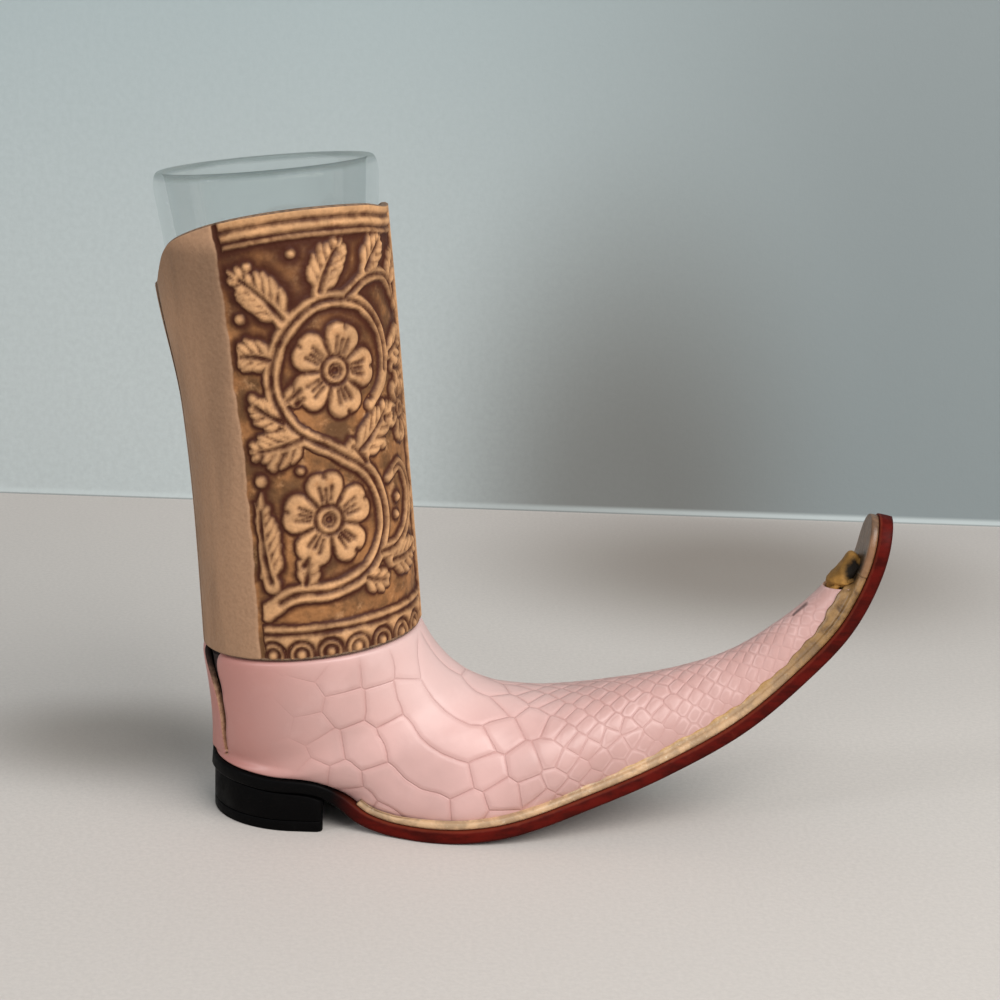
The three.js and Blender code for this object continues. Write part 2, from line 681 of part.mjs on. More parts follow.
function makeWelt() {
  const outer = strip(
    (share) => soleHalfWidth(share, WELT_SETBACK),
    GAP,
    GAP + WELT_THICKNESS,
    WELT_FROM_SHARE,
    1 - WELT_SETBACK / soleLength,
    SOLE_EDGE_ROUND,
  );
  const foot = strip(
    (share) => featherHalfWidth(share, -GAP),
    -OVERRUN,
    OVERRUN,
    WELT_FROM_SHARE - OVERRUN / soleLength,
    WELT_INNER_END_SHARE,
  );
  return toGeometry(outer.subtract(foot).subtract(footBody(-GAP, 0, LAST_ROW)));
}

function makeBoard(nails) {
  const setback = HEEL_FEATHER_SETBACK + inside + 2 * GAP;
  const board = strip(
    (share) => featherHalfWidth(share, inside + 2 * GAP),
    boardLow,
    boardHigh,
    setback / soleLength,
    upperEndShare,
  );
  return toGeometry(board.subtract(nails));
}

// The D outline of the heel, with its breast hollowed a little
function heelOutline() {
  const outline = new THREE.Shape();
  const side = HEEL_LENGTH - HEEL_CORNER_ROUND;
  const hollow = HEEL_LENGTH - 2 * BREAST_HOLLOW;
  outline.moveTo(HEEL_END_RADIUS, -HEEL_HALF_WIDTH);
  outline.lineTo(side, -HEEL_HALF_WIDTH);
  outline.quadraticCurveTo(HEEL_LENGTH, -HEEL_HALF_WIDTH, HEEL_LENGTH, HEEL_CORNER_ROUND - HEEL_HALF_WIDTH);
  outline.quadraticCurveTo(hollow, 0, HEEL_LENGTH, HEEL_HALF_WIDTH - HEEL_CORNER_ROUND);
  outline.quadraticCurveTo(HEEL_LENGTH, HEEL_HALF_WIDTH, side, HEEL_HALF_WIDTH);
  outline.lineTo(HEEL_END_RADIUS, HEEL_HALF_WIDTH);
  outline.absellipse(HEEL_END_RADIUS, 0, HEEL_END_RADIUS, HEEL_HALF_WIDTH, Math.PI / 2, Math.PI * 1.5);
  return outline;
}

function makeHeelCap() {
  return new THREE.ExtrudeGeometry(heelOutline(), {
    depth: HEEL_CAP_THICKNESS,
    bevelEnabled: false,
    curveSegments: HEEL_CURVE_STEPS,
  });
}

function makeHeelBlock(nails) {
  const tall = new THREE.ExtrudeGeometry(heelOutline(), {
    depth: HEEL_RISE + SOLE_THICKNESS,
    bevelEnabled: false,
    curveSegments: HEEL_CURVE_STEPS,
  }).translate(0, 0, HEEL_CAP_THICKNESS + GAP);
  const above = strip(() => BALL_HALF_WIDTH, -SOLE_THICKNESS - GAP, HEEL_RISE, 0, 1 / 2);
  return toGeometry(toSolid(tall).subtract(above).subtract(nails));
}

// A nail driven down through the board and the sole into the heel
function nailGeometry(index, grow = 0) {
  const x = NAIL_FROM_BACK + (Math.abs(index - 1) * NAIL_SPREAD) / 2;
  const y = (index - 1) * NAIL_SPREAD;
  const top = solePoint(soleShareAtX(x), boardHigh).z + GAP;
  const point = HEEL_RISE - NAIL_INTO_HEEL;
  const profile = [
    new THREE.Vector2(0, point - grow),
    new THREE.Vector2(NAIL_RADIUS + grow, point + 2 * NAIL_RADIUS - grow),
    new THREE.Vector2(NAIL_RADIUS + grow, top - grow),
    new THREE.Vector2(NAIL_HEAD_RADIUS + grow, top - grow),
    new THREE.Vector2(NAIL_HEAD_RADIUS + grow, top + NAIL_HEAD_THICKNESS + grow),
    new THREE.Vector2(0, top + NAIL_HEAD_THICKNESS + grow),
  ];
  return turned(profile, NAIL_SEGMENTS).translate(x, y, 0);
}

function finish(colour, roughness, more = {}) {
  return new THREE.MeshStandardMaterial({ color: colour, roughness, metalness: 0, ...more });
}

const clearGlass = finish(0xe8f0f0, 0.05, { transparent: true, opacity: 0.35 });
const tooledLeather = finish(0xb98555, 0.6);
const snakeLeather = finish(0xdfaaa5, 0.45);
const rawLeather = finish(0x8a5c3c, 0.8);
const filler = finish(0xbe965a, 0.85);
const fibreBoard = finish(0xa88a62, 0.85);
const weltLeather = finish(0xd7b982, 0.6);
const soleLeather = finish(0x6e281e, 0.5);
const blackRubber = finish(0x0c0c0c, 0.55);
const steel = finish(0x9a9a98, 0.35, { metalness: 1 });

function piece(name, geometry, material) {
  const mesh = new THREE.Mesh(geometry, material);
  mesh.name = name;
  return mesh;
}

let nailHoles = toSolid(nailGeometry(0, GAP));
for (let i = 1; i < NAIL_COUNT; i += 1) nailHoles = nailHoles.add(toSolid(nailGeometry(i, GAP)));

const leg = new THREE.Group();
leg.position.x = LEG_FOOT_X;
leg.rotation.y = -lean;
leg.add(piece("shot_glass", makeGlass(), clearGlass));
leg.add(piece("shaft_sleeve", makeSleeve(), tooledLeather));

const foot = new THREE.Group();
foot.add(piece("foot_upper", makeUpper(nailHoles), snakeLeather));
foot.add(piece("seam_backing", makeBacking(), rawLeather));
foot.add(piece("foot_core", makeCore(nailHoles), filler));
foot.add(piece("insole_board", makeBoard(nailHoles), fibreBoard));
foot.add(piece("welt", makeWelt(), weltLeather));
foot.add(piece("outsole", makeOutsole(nailHoles), soleLeather));
foot.add(piece("heel_block", makeHeelBlock(nailHoles), blackRubber));
foot.add(piece("heel_cap", makeHeelCap(), blackRubber));
for (let i = 0; i < NAIL_COUNT; i += 1) foot.add(piece(`heel_nail_${i + 1}`, nailGeometry(i), steel));

// The boot stands on the table with the middle of its length over the origin
const boot = new THREE.Group();
boot.add(leg, foot);
const box = new THREE.Box3().setFromObject(boot, true);
boot.position.x = -(box.min.x + box.max.x) / 2;

export default boot;
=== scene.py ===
"""A shot glass standing in the leg of a small leather boot with a long curled toe."""

import math

import bmesh
import bpy
import numpy as np
from bpy.props import FloatProperty, FloatVectorProperty, IntProperty, PointerProperty
from mathutils import Matrix, Vector


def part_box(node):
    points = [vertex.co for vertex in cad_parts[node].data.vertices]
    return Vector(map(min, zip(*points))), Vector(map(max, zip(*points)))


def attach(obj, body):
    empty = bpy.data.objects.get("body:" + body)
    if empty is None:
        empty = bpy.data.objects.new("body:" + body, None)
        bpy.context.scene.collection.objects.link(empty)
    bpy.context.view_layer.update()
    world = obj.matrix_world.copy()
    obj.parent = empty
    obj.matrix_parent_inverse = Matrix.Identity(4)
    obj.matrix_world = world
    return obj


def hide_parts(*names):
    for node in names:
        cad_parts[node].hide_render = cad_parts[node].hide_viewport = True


bl_info = {
    "name": "Boot shot glass",
    "version": (1, 0, 0),
    "blender": (4, 5, 0),
    "location": "View3D > Sidebar > Boot glass",
    "description": "Builds a shot glass in a tooled leather boot, piece by piece",
    "category": "Add Mesh",
}

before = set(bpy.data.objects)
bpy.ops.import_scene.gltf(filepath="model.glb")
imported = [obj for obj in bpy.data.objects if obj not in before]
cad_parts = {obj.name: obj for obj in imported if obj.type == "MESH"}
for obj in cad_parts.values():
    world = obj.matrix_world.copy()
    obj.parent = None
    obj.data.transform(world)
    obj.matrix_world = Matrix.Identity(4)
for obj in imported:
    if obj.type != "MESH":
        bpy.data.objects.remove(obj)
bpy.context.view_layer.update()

MM = 0.001
BOOT = "boot"
GLASS = "glass"
# Millimetres from here on. X runs from the back of the heel to the toe, and the part's own middle
# lies at the heel cap's lowest corner.
HEEL_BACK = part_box("heel_cap")[0].x / MM

GAP = 0.3
LEATHER = 1.3
LEAN = math.radians(6.35)
LEG_FOOT_X = 25.9
SLEEVE_BOTTOM = 41.2
SLEEVE_LENGTH = 93.8
SLEEVE_TOP = SLEEVE_BOTTOM + SLEEVE_LENGTH
SLEEVE_THICKNESS = 1.5
SLEEVE_RADIUS = 24.0
SEAM_ANGLE = math.radians(163)
COLLAR_TOP = SLEEVE_BOTTOM + 9.5
GLASS_BASE = COLLAR_TOP + GAP
GLASS_HEIGHT = 92.0
RIM_RADIUS = 23.6
BASE_RADIUS = 16.2
FOOT_LENGTH = 144.2
TOE_RISE = 68.1
HEEL_RISE = 9.8
SOLE_THICKNESS = 2.9
BALL_HALF_WIDTH = 23.0
INSTEP_HEIGHT = 28.0
WELT_THICKNESS = 1.5
WELT_SETBACK = 0.5
HEEL_LENGTH = 25.6
HEEL_END = 19.0
HEEL_HALF_WIDTH = 18.3
HEEL_CAP = 2.4
# The sole's tip is rounded over this much of its length
TOE_END = 7.5
# How far the line where the upper meets the sole lies inside the sole's edge, at the heel and in front of it
FEATHER_BACK = 0.8
FEATHER_FRONT = 2.6
SLEEVE_BOW = 0.9
SHOULDER_DROP = 0.9
# The back of the foot in side view: at its fullest, and where it stands on the sole
BACK_FULL = -1.5
BACK_FOOT = -0.6
# The leg's radius at which the panel's tooling is laid out flat
PANEL_RADIUS = 24.4

# The sole's top in side view: share of the length, of the heel's rise and of the toe's rise
SOLE_LINE = [
    (-0.004, 1, 0), (0.09, 0.905, 0), (0.168, 0.8, 0), (0.205, 0.52, 0), (0.24, 0.16, 0), (0.275, 0.03, 0),
    (0.31, 0.005, 0), (0.36, 0, 0.001), (0.4, 0, 0.0055), (0.46, 0, 0.026), (0.567, 0, 0.097),
    (0.68, 0, 0.192), (0.795, 0, 0.328), (0.885, 0, 0.497), (0.948, 0, 0.655), (0.984, 0, 0.825), (1, 0, 1),
]
# The sole's half width: share of the length, and of the half width at the ball
SOLE_WIDTH = [
    (0, 0.8), (0.13, 0.785), (0.19, 0.74), (0.28, 0.96), (0.33, 1), (0.4, 0.945), (0.5, 0.745),
    (0.62, 0.545), (0.74, 0.42), (0.86, 0.345), (1, 0.3),
]
# The foot's ridge in side view: share of the length, and of the instep's height over the sole
RIDGE = [
    (0.34, 1.2), (0.385, 1.01), (0.452, 0.85), (0.53, 0.743), (0.62, 0.664), (0.72, 0.564),
    (0.795, 0.495), (0.857, 0.452), (0.912, 0.42), (0.962, 0.385),
]
# The foot's rings: share of the sole's length (below zero it is the back of the heel), number along the
# ridge, share of the ball's half width, and share of the height at which the ring is widest
RINGS = [
    (-0.4, 2.5, 1.012, 0.49), (-0.2, 3.25, 0.95, 0.46), (0, 4.05, 0.875, 0.45), (0.035, 4.4, 0.868, 0.43),
    (0.095, 4.8, 0.868, 0.37), (0.155, 5.25, 0.876, 0.35), (0.205, 5.6, 0.9, 0.32), (0.27, 5.97, 0.92, 0.22),
    (0.34, 6.3, 0.92, 0.17), (0.43, 6.75, 0.79, 0.15), (0.53, 7.4, 0.6, 0.15), (0.63, 8.22, 0.44, 0.15),
    (0.72, 9.23, 0.35, 0.16), (0.8, 10.22, 0.29, 0.18), (0.855, 10.63, 0.26, 0.2), (0.9, 11.02, 0.235, 0.22),
    (0.918, 11.53, 0.21, 0.24), (0.932, 12, 0.17, 0.3),
]
# The sleeve's top edge in side view: share of the radius forward of the axis, and drop
SLEEVE_EDGE = [
    (-1.12, 16.3), (-1.03, 14.9), (-0.96, 10.9), (-0.9, 7.8), (-0.81, 5.4), (-0.64, 3.5), (-0.33, 1.44),
    (0.1, 0.16), (0.5, 0), (0.86, 0.9), (1, 2.5), (1.12, 4.2),
]
SLEEVE_FLARE = 1.6
SLEEVE_FAR_DROP = 7.5

# Marks at the toe, with their reach: the filler's hollow darkened as painted shade, that painted shade spread
# onto the welt, and the nick on the ridge
HOLLOW = (139.2, -4.4, 59.2)
HOLLOW_REACH = (2.9, 4.1, 5.6)
TIP_SHADE = (140.3, -3.4, 59.5)
TIP_SHADE_REACH = (3.2, 3.3, 5.6)
NICK = [(126.8, -1.5, 47.8), (129.4, -1.3, 50.4)]

# The back seam's two edges: share of its length from the heel up, millimetres towards the near side
SEAM_EDGES = [
    (0, -1.65, -0.35), (0.155, 0.2, 1.7), (0.33, 2.0, 4.4), (0.586, 2.3, 6.2), (0.8, -0.2, 6.7),
    (0.88, -2.2, 6.9), (0.955, -3.3, 5.7), (1, -3.9, 3.2), (1.2, -4.2, 2.9),
]

# Middles of the broad scales on the near side of the ankle: places along each, in millimetres
BROAD_SCALES = [
    [(47.3, -8.7, 35.5), (50.1, -9.5, 31.7), (53.7, -10.5, 28.5), (57.7, -11.1, 26.8), (61.1, -10.2, 26.6)],
    [(42.3, -13.0, 40.3), (43.3, -13.1, 36.7)],
    [(43.5, -14.9, 31.7), (46.5, -15.0, 27.3), (51.6, -16.7, 23.4), (56.1, -17.6, 21.3), (58.5, -17.3, 21.3)],
    [(41.4, -18.2, 23.6), (42.5, -19.3, 20.4), (45.5, -19.9, 17.7), (49.5, -20.3, 15.4), (54.0, -20.4, 14.4)],
    [(38.4, -18.0, 30.6), (38.9, -17.8, 28.5)],
    [(33.8, -19.6, 21.3), (35.8, -19.7, 19.3)],
    [(38.3, -19.8, 13.3), (40.8, -19.9, 10.3), (45.3, -20.4, 7.5), (49.2, -20.8, 7.1)],
    [(30.6, -20.9, 29.8)], [(26.1, -19.7, 20.0)], [(30.0, -18.8, 12.8)], [(29.4, -22.2, 36.8)],
    [(37.3, -18.4, 37.8)], [(22.8, -20.9, 24.4)], [(19.0, -18.9, 17.4)], [(20.9, -22.5, 31.5)],
    [(23.6, -18.7, 13.6)], [(63.8, -14.9, 23.2)], [(60.9, -19.5, 16.0)], [(69.3, -18.8, 17.6)],
    [(64.7, -20.7, 10.4)], [(57.5, -21.3, 7.8)], [(71.5, -19.3, 11.7)], [(71.3, -11.8, 24.9)],
    [(74.6, -17.2, 19.3)], [(65.1, -7.2, 27.2)],
]


CAMERA_PLACE = (-0.0052, -0.4434, 0.17963)
CAMERA_TILT = math.radians(90 - 13.75)
CAMERA_ROLL = math.radians(1.95)
CAMERA_LENS = 75.6
WALL_Y = 0.276


# Curves


def smooth(x, low, high):
    s = np.clip((np.asarray(x, float) - low) / (high - low), 0, 1)
    return s * s * (3 - 2 * s)


def between(rows, x, column=1):
    """The value of a column at x, on a smooth line through the rows of a table."""
    rows = np.asarray(rows, float)
    keys, values = rows[:, 0], rows[:, column]
    x = np.asarray(x, float)
    i = np.clip(np.searchsorted(keys[1:-1], x), 0, len(keys) - 2)

    def slope(k):
        a, b = np.maximum(k - 1, 0), np.minimum(k + 1, len(keys) - 1)
        return (values[b] - values[a]) / (keys[b] - keys[a])

    width = keys[i + 1] - keys[i]
    s = (x - keys[i]) / width
    rise = smooth(s, 0, 1)
    straight = values[i] * (1 - rise) + values[i + 1] * rise
    return straight + width * (slope(i) * s * (1 - s) ** 2 - slope(i + 1) * (1 - s) * s**2)


def at_row(rows, row, column):
    """The value of a column at a row's number, whole or not."""
    table = np.asarray(rows, float)
    return between(np.column_stack([np.arange(len(table)), table[:, column]]), row)


class SideLine:
    """A smooth line through points of the boot's side view."""

    def __init__(self, points):
        p = np.array(points, float)
        self.count = len(p)
        self.points = np.vstack([2 * p[0] - p[1], p, 2 * p[-1] - p[-2]])
        self.steps = np.linspace(0, 1, 1201)
        hops = np.linalg.norm(np.diff(self.at(self.steps), axis=0), axis=1)
        self.lengths = np.concatenate([[0], np.cumsum(hops)])
        self.length = self.lengths[-1]

    def at(self, t):
        place = np.clip(np.asarray(t, float), 0, 1) * (self.count - 1)
        i = np.minimum(place.astype(int), self.count - 2)
        w = (place - i)[..., None]
        a, b, c, d = (self.points[i + k] for k in range(4))

        def hop(m, n):
            return np.sum((m - n) ** 2, axis=-1, keepdims=True) ** 0.25

        e0, e1, e2 = hop(a, b), hop(b, c), hop(c, d)
        t1 = ((b - a) / e0 - (c - a) / (e0 + e1) + (c - b) / e1) * e1
        t2 = ((c - b) / e1 - (d - b) / (e1 + e2) + (d - c) / e2) * e1
        return b + t1 * w + (3 * (c - b) - 2 * t1 - t2) * w**2 + (2 * (b - c) + t1 + t2) * w**3

    def along(self, share):
        """The knot value at a share of the developed length."""
        return np.interp(np.asarray(share, float) * self.length, self.lengths, self.steps)

    def normal(self, t):
        a = self.at(np.clip(np.asarray(t) - 1e-4, 0, 1))
        b = self.at(np.clip(np.asarray(t) + 1e-4, 0, 1))
        run = (b - a) / np.linalg.norm(b - a, axis=-1, keepdims=True)
        return np.stack([-run[..., 1], run[..., 0]], axis=-1)


sole_line = SideLine(
    [(x * FOOT_LENGTH, SOLE_THICKNESS + heel * HEEL_RISE + toe * TOE_RISE) for x, heel, toe in SOLE_LINE]
)


def sole_point(share, offset=0.0):
    t = sole_line.along(share)
    return sole_line.at(t) + sole_line.normal(t) * np.asarray(offset)[..., None]


def sole_share_at(x):
    shares = np.linspace(0, 1, 2001)
    return float(np.interp(x, sole_point(shares)[:, 0], shares))


def sole_half_width(share, setback=0.0):
    share = np.asarray(share, float)

    def rounded(distance, radius):
        short = 1 - np.clip((distance - setback) / (radius - setback), 0, 1)
        return np.sqrt(np.maximum(0, 1 - short**2))

    full = between(SOLE_WIDTH, share) * BALL_HALF_WIDTH - setback
    heel = rounded(share * sole_line.length, HEEL_END)
    return full * heel * rounded((1 - share) * sole_line.length, TOE_END)


def feather_half_width(share, inset=0.0):
    """Half width of the line where the upper meets the sole."""
    forward = smooth(share, 0.145, 0.195)
    return sole_half_width(share, FEATHER_BACK + (FEATHER_FRONT - FEATHER_BACK) * forward + inset)


def leg_point(u, station):
    """A place in side view from its distance forward of the leg's axis and its station along it."""
    return (
        LEG_FOOT_X + u * math.cos(LEAN) - station * math.sin(LEAN),
        station * math.cos(LEAN) + u * math.sin(LEAN),
    )


def bow(station):
    """How far the leg's middle bows forward between the sleeve's two ends."""
    share = np.clip((np.asarray(station, float) - SLEEVE_BOTTOM) / SLEEVE_LENGTH, 0, 1)
    return SLEEVE_BOW * np.sin(np.pi * share)


def glass_radius(station):
    return BASE_RADIUS + (RIM_RADIUS - BASE_RADIUS) * (np.asarray(station, float) - GLASS_BASE) / GLASS_HEIGHT


def sleeve_radius(station):
    def over_glass(at):
        return glass_radius(at) + GAP + SLEEVE_THICKNESS + bow(at)

    share = (np.asarray(station, float) - SLEEVE_BOTTOM) / SLEEVE_LENGTH
    rows = [(0, SLEEVE_RADIUS), (0.45, SLEEVE_RADIUS - 0.4), (1, float(over_glass(SLEEVE_TOP)))]
    return np.maximum(between(rows, share), over_glass(station))


heel_seat = sole_point(0.0, GAP)
shoulder = SLEEVE_BOTTOM - SHOULDER_DROP
leg_rows = [
    (COLLAR_TOP, float(sleeve_radius(COLLAR_TOP)) - SLEEVE_THICKNESS - GAP),
    (SLEEVE_BOTTOM, float(sleeve_radius(SLEEVE_BOTTOM)) - SLEEVE_THICKNESS - GAP),
    (shoulder, SLEEVE_RADIUS),
]
ankle = leg_point(-SLEEVE_RADIUS, shoulder)
back_line = SideLine(
    [leg_point(float(bow(s)) - r, s) for s, r in leg_rows]
    + [
        (BACK_FULL, ankle[1] + (heel_seat[1] - ankle[1]) / 3),
        (BACK_FOOT, ankle[1] + (heel_seat[1] - ankle[1]) * 2 / 3),
        (BACK_FOOT, heel_seat[1]),
    ]
)


def over_sole(x, height):
    """A place in side view at x, that far above the sole's top."""
    return (x, float(sole_point(sole_share_at(x))[1]) + height)


ridge_line = SideLine(
    [leg_point(float(bow(s)) + r, s) for s, r in leg_rows]
    + [over_sole(along * FOOT_LENGTH, height * INSTEP_HEIGHT) for along, height in RIDGE]
)
ring_rows = [
    (i / (back_line.count - 1) - 1, i, radius / BALL_HALF_WIDTH, 0.5)
    for i, (_, radius) in enumerate(leg_rows)
] + RINGS
LAST_ROW = len(ring_rows) - 1
UPPER_END = LAST_ROW - 2
LEATHER_OVERLAP = 0.4


def foot_ring(row, inset=0.0, floor=GAP):
    """One ring of the foot, from its right foot over the ridge to its left foot."""
    under = float(at_row(ring_rows, row, 0))
    top = float(np.clip(at_row(ring_rows, row, 1) / (ridge_line.count - 1), 0, 1))
    widest = float(at_row(ring_rows, row, 2)) * BALL_HALF_WIDTH - inset
    belly = float(at_row(ring_rows, row, 3))
    flat = 0.0
    if under < 0:
        share = min(max(1 + under, 0), 1)
        low = back_line.at(share) + back_line.normal(share) * inset
        low[1] = max(low[1], heel_seat[1] - GAP + floor + inset)
    else:
        low = sole_point(under, floor + inset)
        low[0] = max(low[0], BACK_FOOT + inset)
        flat = max(float(feather_half_width(under, inset)), 0.0)
    high = ridge_line.at(top) - ridge_line.normal(top) * inset
    widest = max(widest, flat + 0.01)
    squash = 1 - (flat / widest) ** 2
    down = np.sin(np.pi / 2 * np.linspace(1, 0, 80))
    turn = np.pi / 2 * np.linspace(0, 1, 140)[1:]
    y = np.concatenate([widest * np.sqrt(np.maximum(0, 1 - squash * down**2)), widest * np.cos(turn)])
    share = np.concatenate([belly * (1 - down), belly + (1 - belly) * np.sin(turn)])
    y[-1] = 0.0
    right = np.column_stack([low[0] + (high[0] - low[0]) * share, y, low[1] + (high[1] - low[1]) * share])
    left = right[::-1][1:] * np.array([1, -1, 1])
    return np.vstack([right, left])


def evenly(line, count):
    """That many points at even steps along a polyline."""
    hops = np.linalg.norm(np.diff(line, axis=0), axis=1)
    lengths = np.concatenate([[0], np.cumsum(hops)])
    at = np.linspace(0, lengths[-1], count)
    return np.column_stack([np.interp(at, lengths, line[:, k]) for k in range(3)])


def foot_rows(first, last, count):
    """Ring numbers so that the rings lie at even distances."""
    tries = np.linspace(first, last, 241)
    rings = np.array([evenly(foot_ring(r), 41) for r in tries])
    hops = np.linalg.norm(np.diff(rings, axis=0), axis=2).mean(axis=1)
    lengths = np.concatenate([[0], np.cumsum(hops)])
    return np.interp(np.linspace(0, lengths[-1], count), lengths, tries)


# Meshes


def from_heel(x):
    """Millimetres from the back of the heel to x in the part's own frame."""
    return (HEEL_BACK + x) * MM


def to_part(points):
    """Millimetres from the back of the heel to the part's own frame in metres."""
    return (np.asarray(points, float) + np.array([HEEL_BACK, 0, 0])) * MM


def leg_to_part(u, y, station):
    x, z = leg_point(u, station)
    return to_part(np.stack([x, y, z], axis=-1))


def sheet_of(places):
    """A bmesh grid whose vertices are moved to an array of places, rows by columns."""
    rows, columns = places.shape[:2]
    bm = bmesh.new()
    bmesh.ops.create_grid(bm, x_segments=columns - 1, y_segments=rows - 1, size=1.0)
    for v in bm.verts:
        i = round((v.co.x + 1) / 2 * (columns - 1))
        j = round((v.co.y + 1) / 2 * (rows - 1))
        v.co = places[j, i]
    return bm


def close_up(bm, distance=2e-6):
    """Merges what lies together, and turns the closed mesh outwards."""
    bmesh.ops.remove_doubles(bm, verts=bm.verts, dist=distance)
    bmesh.ops.dissolve_degenerate(bm, edges=bm.edges, dist=distance)
    holes = [e for e in bm.edges if e.is_boundary]
    if holes:
        bmesh.ops.holes_fill(bm, edges=holes)
    bmesh.ops.recalc_face_normals(bm, faces=bm.faces)


def make_piece(name, bm, materials, body, replaced):
    mesh = bpy.data.meshes.new(name)
    for face in bm.faces:
        face.smooth = True
    bm.to_mesh(mesh)
    bm.free()
    piece = bpy.data.objects.new(name, mesh)
    bpy.context.scene.collection.objects.link(piece)
    for one in materials:
        mesh.materials.append(one)
    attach(piece, body)
    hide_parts(*replaced)
    return piece


def vertices(mesh):
    co = np.zeros(len(mesh.vertices) * 3)
    mesh.vertices.foreach_get("co", co)
    return co.reshape(-1, 3)


def places_of(mesh):
    """The vertices in millimetres from the back of the heel."""
    return vertices(mesh) / MM - np.array([HEEL_BACK, 0, 0])


def station_of(points):
    """How far up the leg's axis the points lie."""
    return points[:, 2] * math.cos(LEAN) - (points[:, 0] - LEG_FOOT_X) * math.sin(LEAN)


def vertex_normals(mesh):
    co = np.zeros(len(mesh.vertices) * 3)
    mesh.vertex_normals.foreach_get("vector", co)
    return co.reshape(-1, 3)


def set_vertices(mesh, places):
    mesh.vertices.foreach_set("co", np.asarray(places, float).ravel())
    mesh.update()


def give(mesh, name, values):
    """A number or a vector for each vertex."""
    values = np.asarray(values, float)
    if values.ndim == 1:
        layer = mesh.attributes.new(name, "FLOAT", "POINT")
        layer.data.foreach_set("value", values)
    else:
        layer = mesh.attributes.new(name, "FLOAT_VECTOR", "POINT")
        layer.data.foreach_set("vector", values.ravel())


def ripple(points, size, seed=0, octaves=3):
    """Smooth noise between about -1 and 1 at points in millimetres."""
    rng = np.random.default_rng(seed)
    total = np.zeros(len(points))
    for k in range(octaves):
        for _ in range(7):
            way = rng.normal(size=3)
            way /= np.linalg.norm(way)
            wave = points @ way * (2 * np.pi / (size / 2**k)) + rng.uniform(0, 2 * np.pi)
            total += np.sin(wave) / (7 * 1.6**k)
    return total


def nearest(points, places, radii, chunk=1500):
    """Distance from each point to the nearest of many places, less each place's radius."""
    found = np.empty(len(points))
    squares = (places**2).sum(axis=1)
    for k in range(0, len(points), chunk):
        p = points[k : k + chunk]
        d = (p**2).sum(axis=1)[:, None] + squares[None, :] - 2 * p @ places.T
        found[k : k + chunk] = (np.sqrt(np.maximum(d, 0)) - radii[None, :]).min(axis=1)
    return found


# Materials


def linear(colour):
    return [c / 12.92 if c <= 0.04045 else ((c + 0.055) / 1.055) ** 2.4 for c in colour[:3]] + [1.0]


